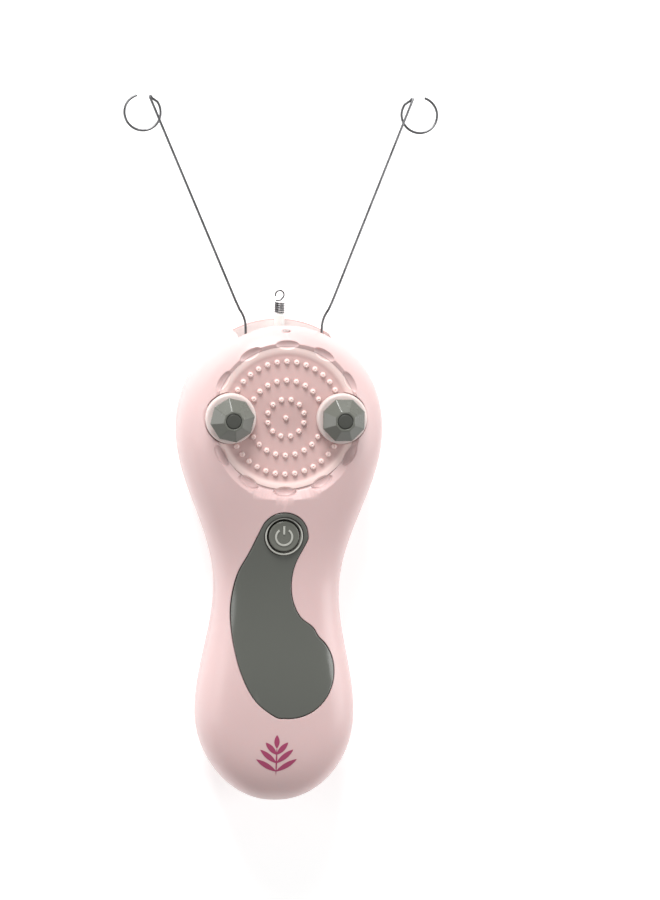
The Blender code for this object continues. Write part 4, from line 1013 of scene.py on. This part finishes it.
def build_hook():
    """Coil and hook of the thread anchor, and its post."""
    path = []
    for i in range(round(COIL_TURNS * COIL_STEPS) + 1):
        a = 2 * math.pi * i / COIL_STEPS
        y = COIL_START_Y + COIL_PITCH * i / COIL_STEPS
        path.append((COIL_RADIUS * math.cos(a), y, POST_Z + COIL_RADIUS * math.sin(a)))
    coil = swept("hook_coil_skin", path, COIL_WIRE_RADIUS, 12)
    finish(coil, material("wire"), None, ("hook_coil",), 70.0)
    coil_end = COIL_START_Y + COIL_PITCH * COIL_TURNS
    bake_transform(coil)

    low = coil_end + 0.65
    radius = 1.35
    route = [(-1.2, low, POST_Z), (-0.5, low, POST_Z), (0.3, low + 0.16, POST_Z)]
    for i in range(9):
        a = math.radians(-50.0 + 250.0 * i / 8)
        route.append((radius * math.cos(a), low + 1.75 + radius * math.sin(a), POST_Z))
    hook = swept("thread_hook_skin", rounded_path(route, 8), COIL_WIRE_RADIUS, 12)
    finish(hook, material("wire"), "hook", ("thread_hook",), 70.0)

    end = POST_END_Y
    profile = [(1.1, 137.5), (1.1, 142.0), (1.7, 142.01), (1.7, end - 0.6)]
    profile += [(1.62, end - 0.3), (1.4, end - 0.05), (0.6, end)]
    post = lie_along_y(turned("thread_post_skin", 0.0, 0.0, profile, 48), 0.0, POST_Z, 0.0)
    finish(post, material("white"), "housing", ("thread_post",))


def leaf(name, x, y, length, width, turn):
    """A flat printed leaf that lies on the curved face."""
    rows = 14
    points = []
    faces = []
    way = (math.cos(turn), math.sin(turn))
    for lift in (0.012, 0.045):
        for i in range(rows + 1):
            t = i / rows
            half = width / 2 * math.sin(math.pi * t) ** 0.8 + 0.02
            for side in (-1, 1):
                px = x + way[0] * length * t - way[1] * half * side
                py = y + way[1] * length * t + way[0] * half * side
                points.append((px, py, face_height(px, py) + lift))
    count = 2 * (rows + 1)
    for i in range(rows):
        a = 2 * i
        faces.append((a, a + 1, a + 3, a + 2))
        faces.append((count + a, count + a + 2, count + a + 3, count + a + 1))
        faces.append((a, a + 2, count + a + 2, count + a))
        faces.append((a + 1, count + a + 1, count + a + 3, a + 3))
    faces.append((0, count, count + 1, 1))
    faces.append((count - 2, count - 1, 2 * count - 1, 2 * count - 2))
    return finish(solid(name, points, faces), material("ink"), "housing", (), 60.0)


def build_emblem():
    """Printed sprig of plain leaves near the bottom end."""
    size = detail_sizes().emblem_size
    x = -1.2
    y = 10.2
    leaf("sprig_stem", x, y, size * 0.72, 0.45, math.radians(90.0))
    number = 0
    for rise, length, spread in ((0.10, 0.60, 58.0), (0.32, 0.54, 50.0), (0.54, 0.42, 42.0)):
        for side in (-1, 1):
            turn = math.radians(90.0 + side * spread)
            number += 1
            leaf(f"sprig_leaf_{number}", x, y + size * rise, size * length, size * 0.13, turn)
    leaf("sprig_tip", x, y + size * 0.7, size * 0.34, size * 0.13, math.radians(90.0))


def refinish_cad():
    """Give every CAD node a finished material in place of its plain one."""
    for entry in frame["record"]["subparts"]:
        node = frame["nodes"][entry["node"]]
        node.data.materials.clear()
        node.data.materials.append(material(SLOT_MATERIALS[entry["material_slot"]]))


# --- operators --------------------------------------------------------------------------------


class EpilatorFinishes(bpy.types.Operator):
    """Put finished materials on the pieces that keep their CAD shape"""

    bl_idname = "epilator.finishes"
    bl_label = "Finish CAD pieces"

    def execute(self, context):
        refinish_cad()
        return {"FINISHED"}


class EpilatorShells(bpy.types.Operator):
    """Build the two housing shells and the battery cover"""

    bl_idname = "epilator.shells"
    bl_label = "Housing"

    def execute(self, context):
        build_front_shell()
        build_back_shell()
        build_mouth_painted_light_floor()
        build_battery_cover()
        return {"FINISHED"}


class EpilatorPad(bpy.types.Operator):
    """Build the massage pad with its nubs and dimples"""

    bl_idname = "epilator.pad"
    bl_label = "Massage pad"

    def execute(self, context):
        build_pad()
        return {"FINISHED"}


class EpilatorKnobs(bpy.types.Operator):
    """Build both faceted knobs with their collars and pins"""

    bl_idname = "epilator.knobs"
    bl_label = "Knobs"

    def execute(self, context):
        build_knob("left", -1, 10.0)
        build_knob("right", 1, 22.5)
        return {"FINISHED"}


class EpilatorControls(bpy.types.Operator):
    """Build the inlay panel, the bezel and the power button"""

    bl_idname = "epilator.controls"
    bl_label = "Inlay and button"

    def execute(self, context):
        build_panel()
        build_button()
        return {"FINISHED"}


class EpilatorArms(bpy.types.Operator):
    """Build the two wire arms"""

    bl_idname = "epilator.arms"
    bl_label = "Thread arms"

    def execute(self, context):
        build_arm("left", -1)
        build_arm("right", 1)
        return {"FINISHED"}


class EpilatorHook(bpy.types.Operator):
    """Build the thread post, its coil and its hook"""

    bl_idname = "epilator.hook"
    bl_label = "Thread hook"

    def execute(self, context):
        build_hook()
        return {"FINISHED"}


class EpilatorEmblem(bpy.types.Operator):
    """Print a plain sprig on the housing"""

    bl_idname = "epilator.emblem"
    bl_label = "Printed sprig"

    def execute(self, context):
        build_emblem()
        return {"FINISHED"}


LIGHTS = (
    ("key_above", (-0.18, 0.95, 0.50), (0.0, 0.05, 0.02), 0.5, 13.0),
    ("fill_left", (-0.9, 0.05, 0.38), (0.0, 0.0, 0.02), 0.6, 2.2),
    ("fill_right", (0.9, 0.0, 0.36), (0.0, 0.0, 0.02), 0.6, 4.0),
)
WORLD_STRENGTH = 0.42


def add_light(name, place, target, size, power):
    """A square soft white light aimed at a point."""
    data = bpy.data.lights.new(name, "AREA")
    data.size = size
    data.energy = power
    lamp = bpy.data.objects.new(name, data)
    lamp.location = place
    lamp.rotation_euler = (Vector(target) - Vector(place)).to_track_quat("-Z", "Y").to_euler()
    bpy.context.scene.collection.objects.link(lamp)


class EpilatorStage(bpy.types.Operator):
    """Lay the pale floor, set the soft lights and place the camera"""

    bl_idname = "epilator.stage"
    bl_label = "Studio"

    def execute(self, context):
        floor = rod("studio_floor", 0.0, 0.0, 3000.0, -8.0, -0.2, 96)
        floor.data.transform(Matrix.Scale(MM, 4))
        floor.data.materials.append(material("floor"))
        world = bpy.data.worlds.new("studio_world")
        world.use_nodes = True
        sky = world.node_tree.nodes["Background"]
        sky.inputs["Color"].default_value = (1.0, 1.0, 1.0, 1.0)
        sky.inputs["Strength"].default_value = WORLD_STRENGTH
        context.scene.world = world
        for light in LIGHTS:
            add_light(*light)
        place_camera(context)
        context.scene.view_settings.view_transform = "Standard"
        return {"FINISHED"}


def place_camera(context):
    """Camera nearly straight above, a little towards the arms and the left."""
    distance = 1.5
    seen_height = 0.2826
    target = Vector((0.0163, 0.0001, 0.017))
    back = Vector((-0.148, 0.13, 1.0)).normalized()
    forward = -back
    across = Vector((1.0, 0.0, 0.0))
    up = across.cross(forward).normalized()
    if up.y < 0:
        up = -up
    right = forward.cross(up).normalized()
    turn = Matrix((right, up, back)).transposed().to_4x4()
    data = bpy.data.cameras.new("camera")
    data.sensor_fit = "VERTICAL"
    data.sensor_height = 36.0
    data.lens = 36.0 * distance / seen_height
    camera = bpy.data.objects.new("camera", data)
    camera.matrix_world = Matrix.Translation(target + back * distance) @ turn
    context.scene.collection.objects.link(camera)
    context.scene.camera = camera


class EpilatorPanel(bpy.types.Panel):
    """Lists the steps and the sizes"""

    bl_idname = "VIEW3D_PT_epilator"
    bl_label = "Thread epilator"
    bl_space_type = "VIEW_3D"
    bl_region_type = "UI"
    bl_category = "Epilator"

    def draw(self, context):
        for step in STEPS:
            self.layout.operator(step.bl_idname)
        for group in (body_sizes(), detail_sizes(), colours()):
            for name in group.bl_rna.properties.keys():
                if name not in {"rna_type", "name"}:
                    self.layout.prop(group, name)


STEPS = (
    EpilatorFinishes,
    EpilatorShells,
    EpilatorPad,
    EpilatorKnobs,
    EpilatorControls,
    EpilatorArms,
    EpilatorHook,
    EpilatorEmblem,
    EpilatorStage,
)
GROUPS = (EpilatorBody, EpilatorDetail, EpilatorColours)


def register():
    for item in GROUPS + STEPS + (EpilatorPanel,):
        bpy.utils.register_class(item)
    bpy.types.Scene.epilator_body = PointerProperty(type=EpilatorBody)
    bpy.types.Scene.epilator_detail = PointerProperty(type=EpilatorDetail)
    bpy.types.Scene.epilator_colours = PointerProperty(type=EpilatorColours)


def unregister():
    del bpy.types.Scene.epilator_colours
    del bpy.types.Scene.epilator_detail
    del bpy.types.Scene.epilator_body
    for item in reversed(GROUPS + STEPS + (EpilatorPanel,)):
        bpy.utils.unregister_class(item)


def main():
    register()
    bpy.ops.epilator.finishes()
    bpy.ops.epilator.shells()
    bpy.ops.epilator.pad()
    bpy.ops.epilator.knobs()
    bpy.ops.epilator.controls()
    bpy.ops.epilator.arms()
    bpy.ops.epilator.hook()
    bpy.ops.epilator.emblem()
    bpy.ops.epilator.stage()


if __name__ == "__main__":
    main()
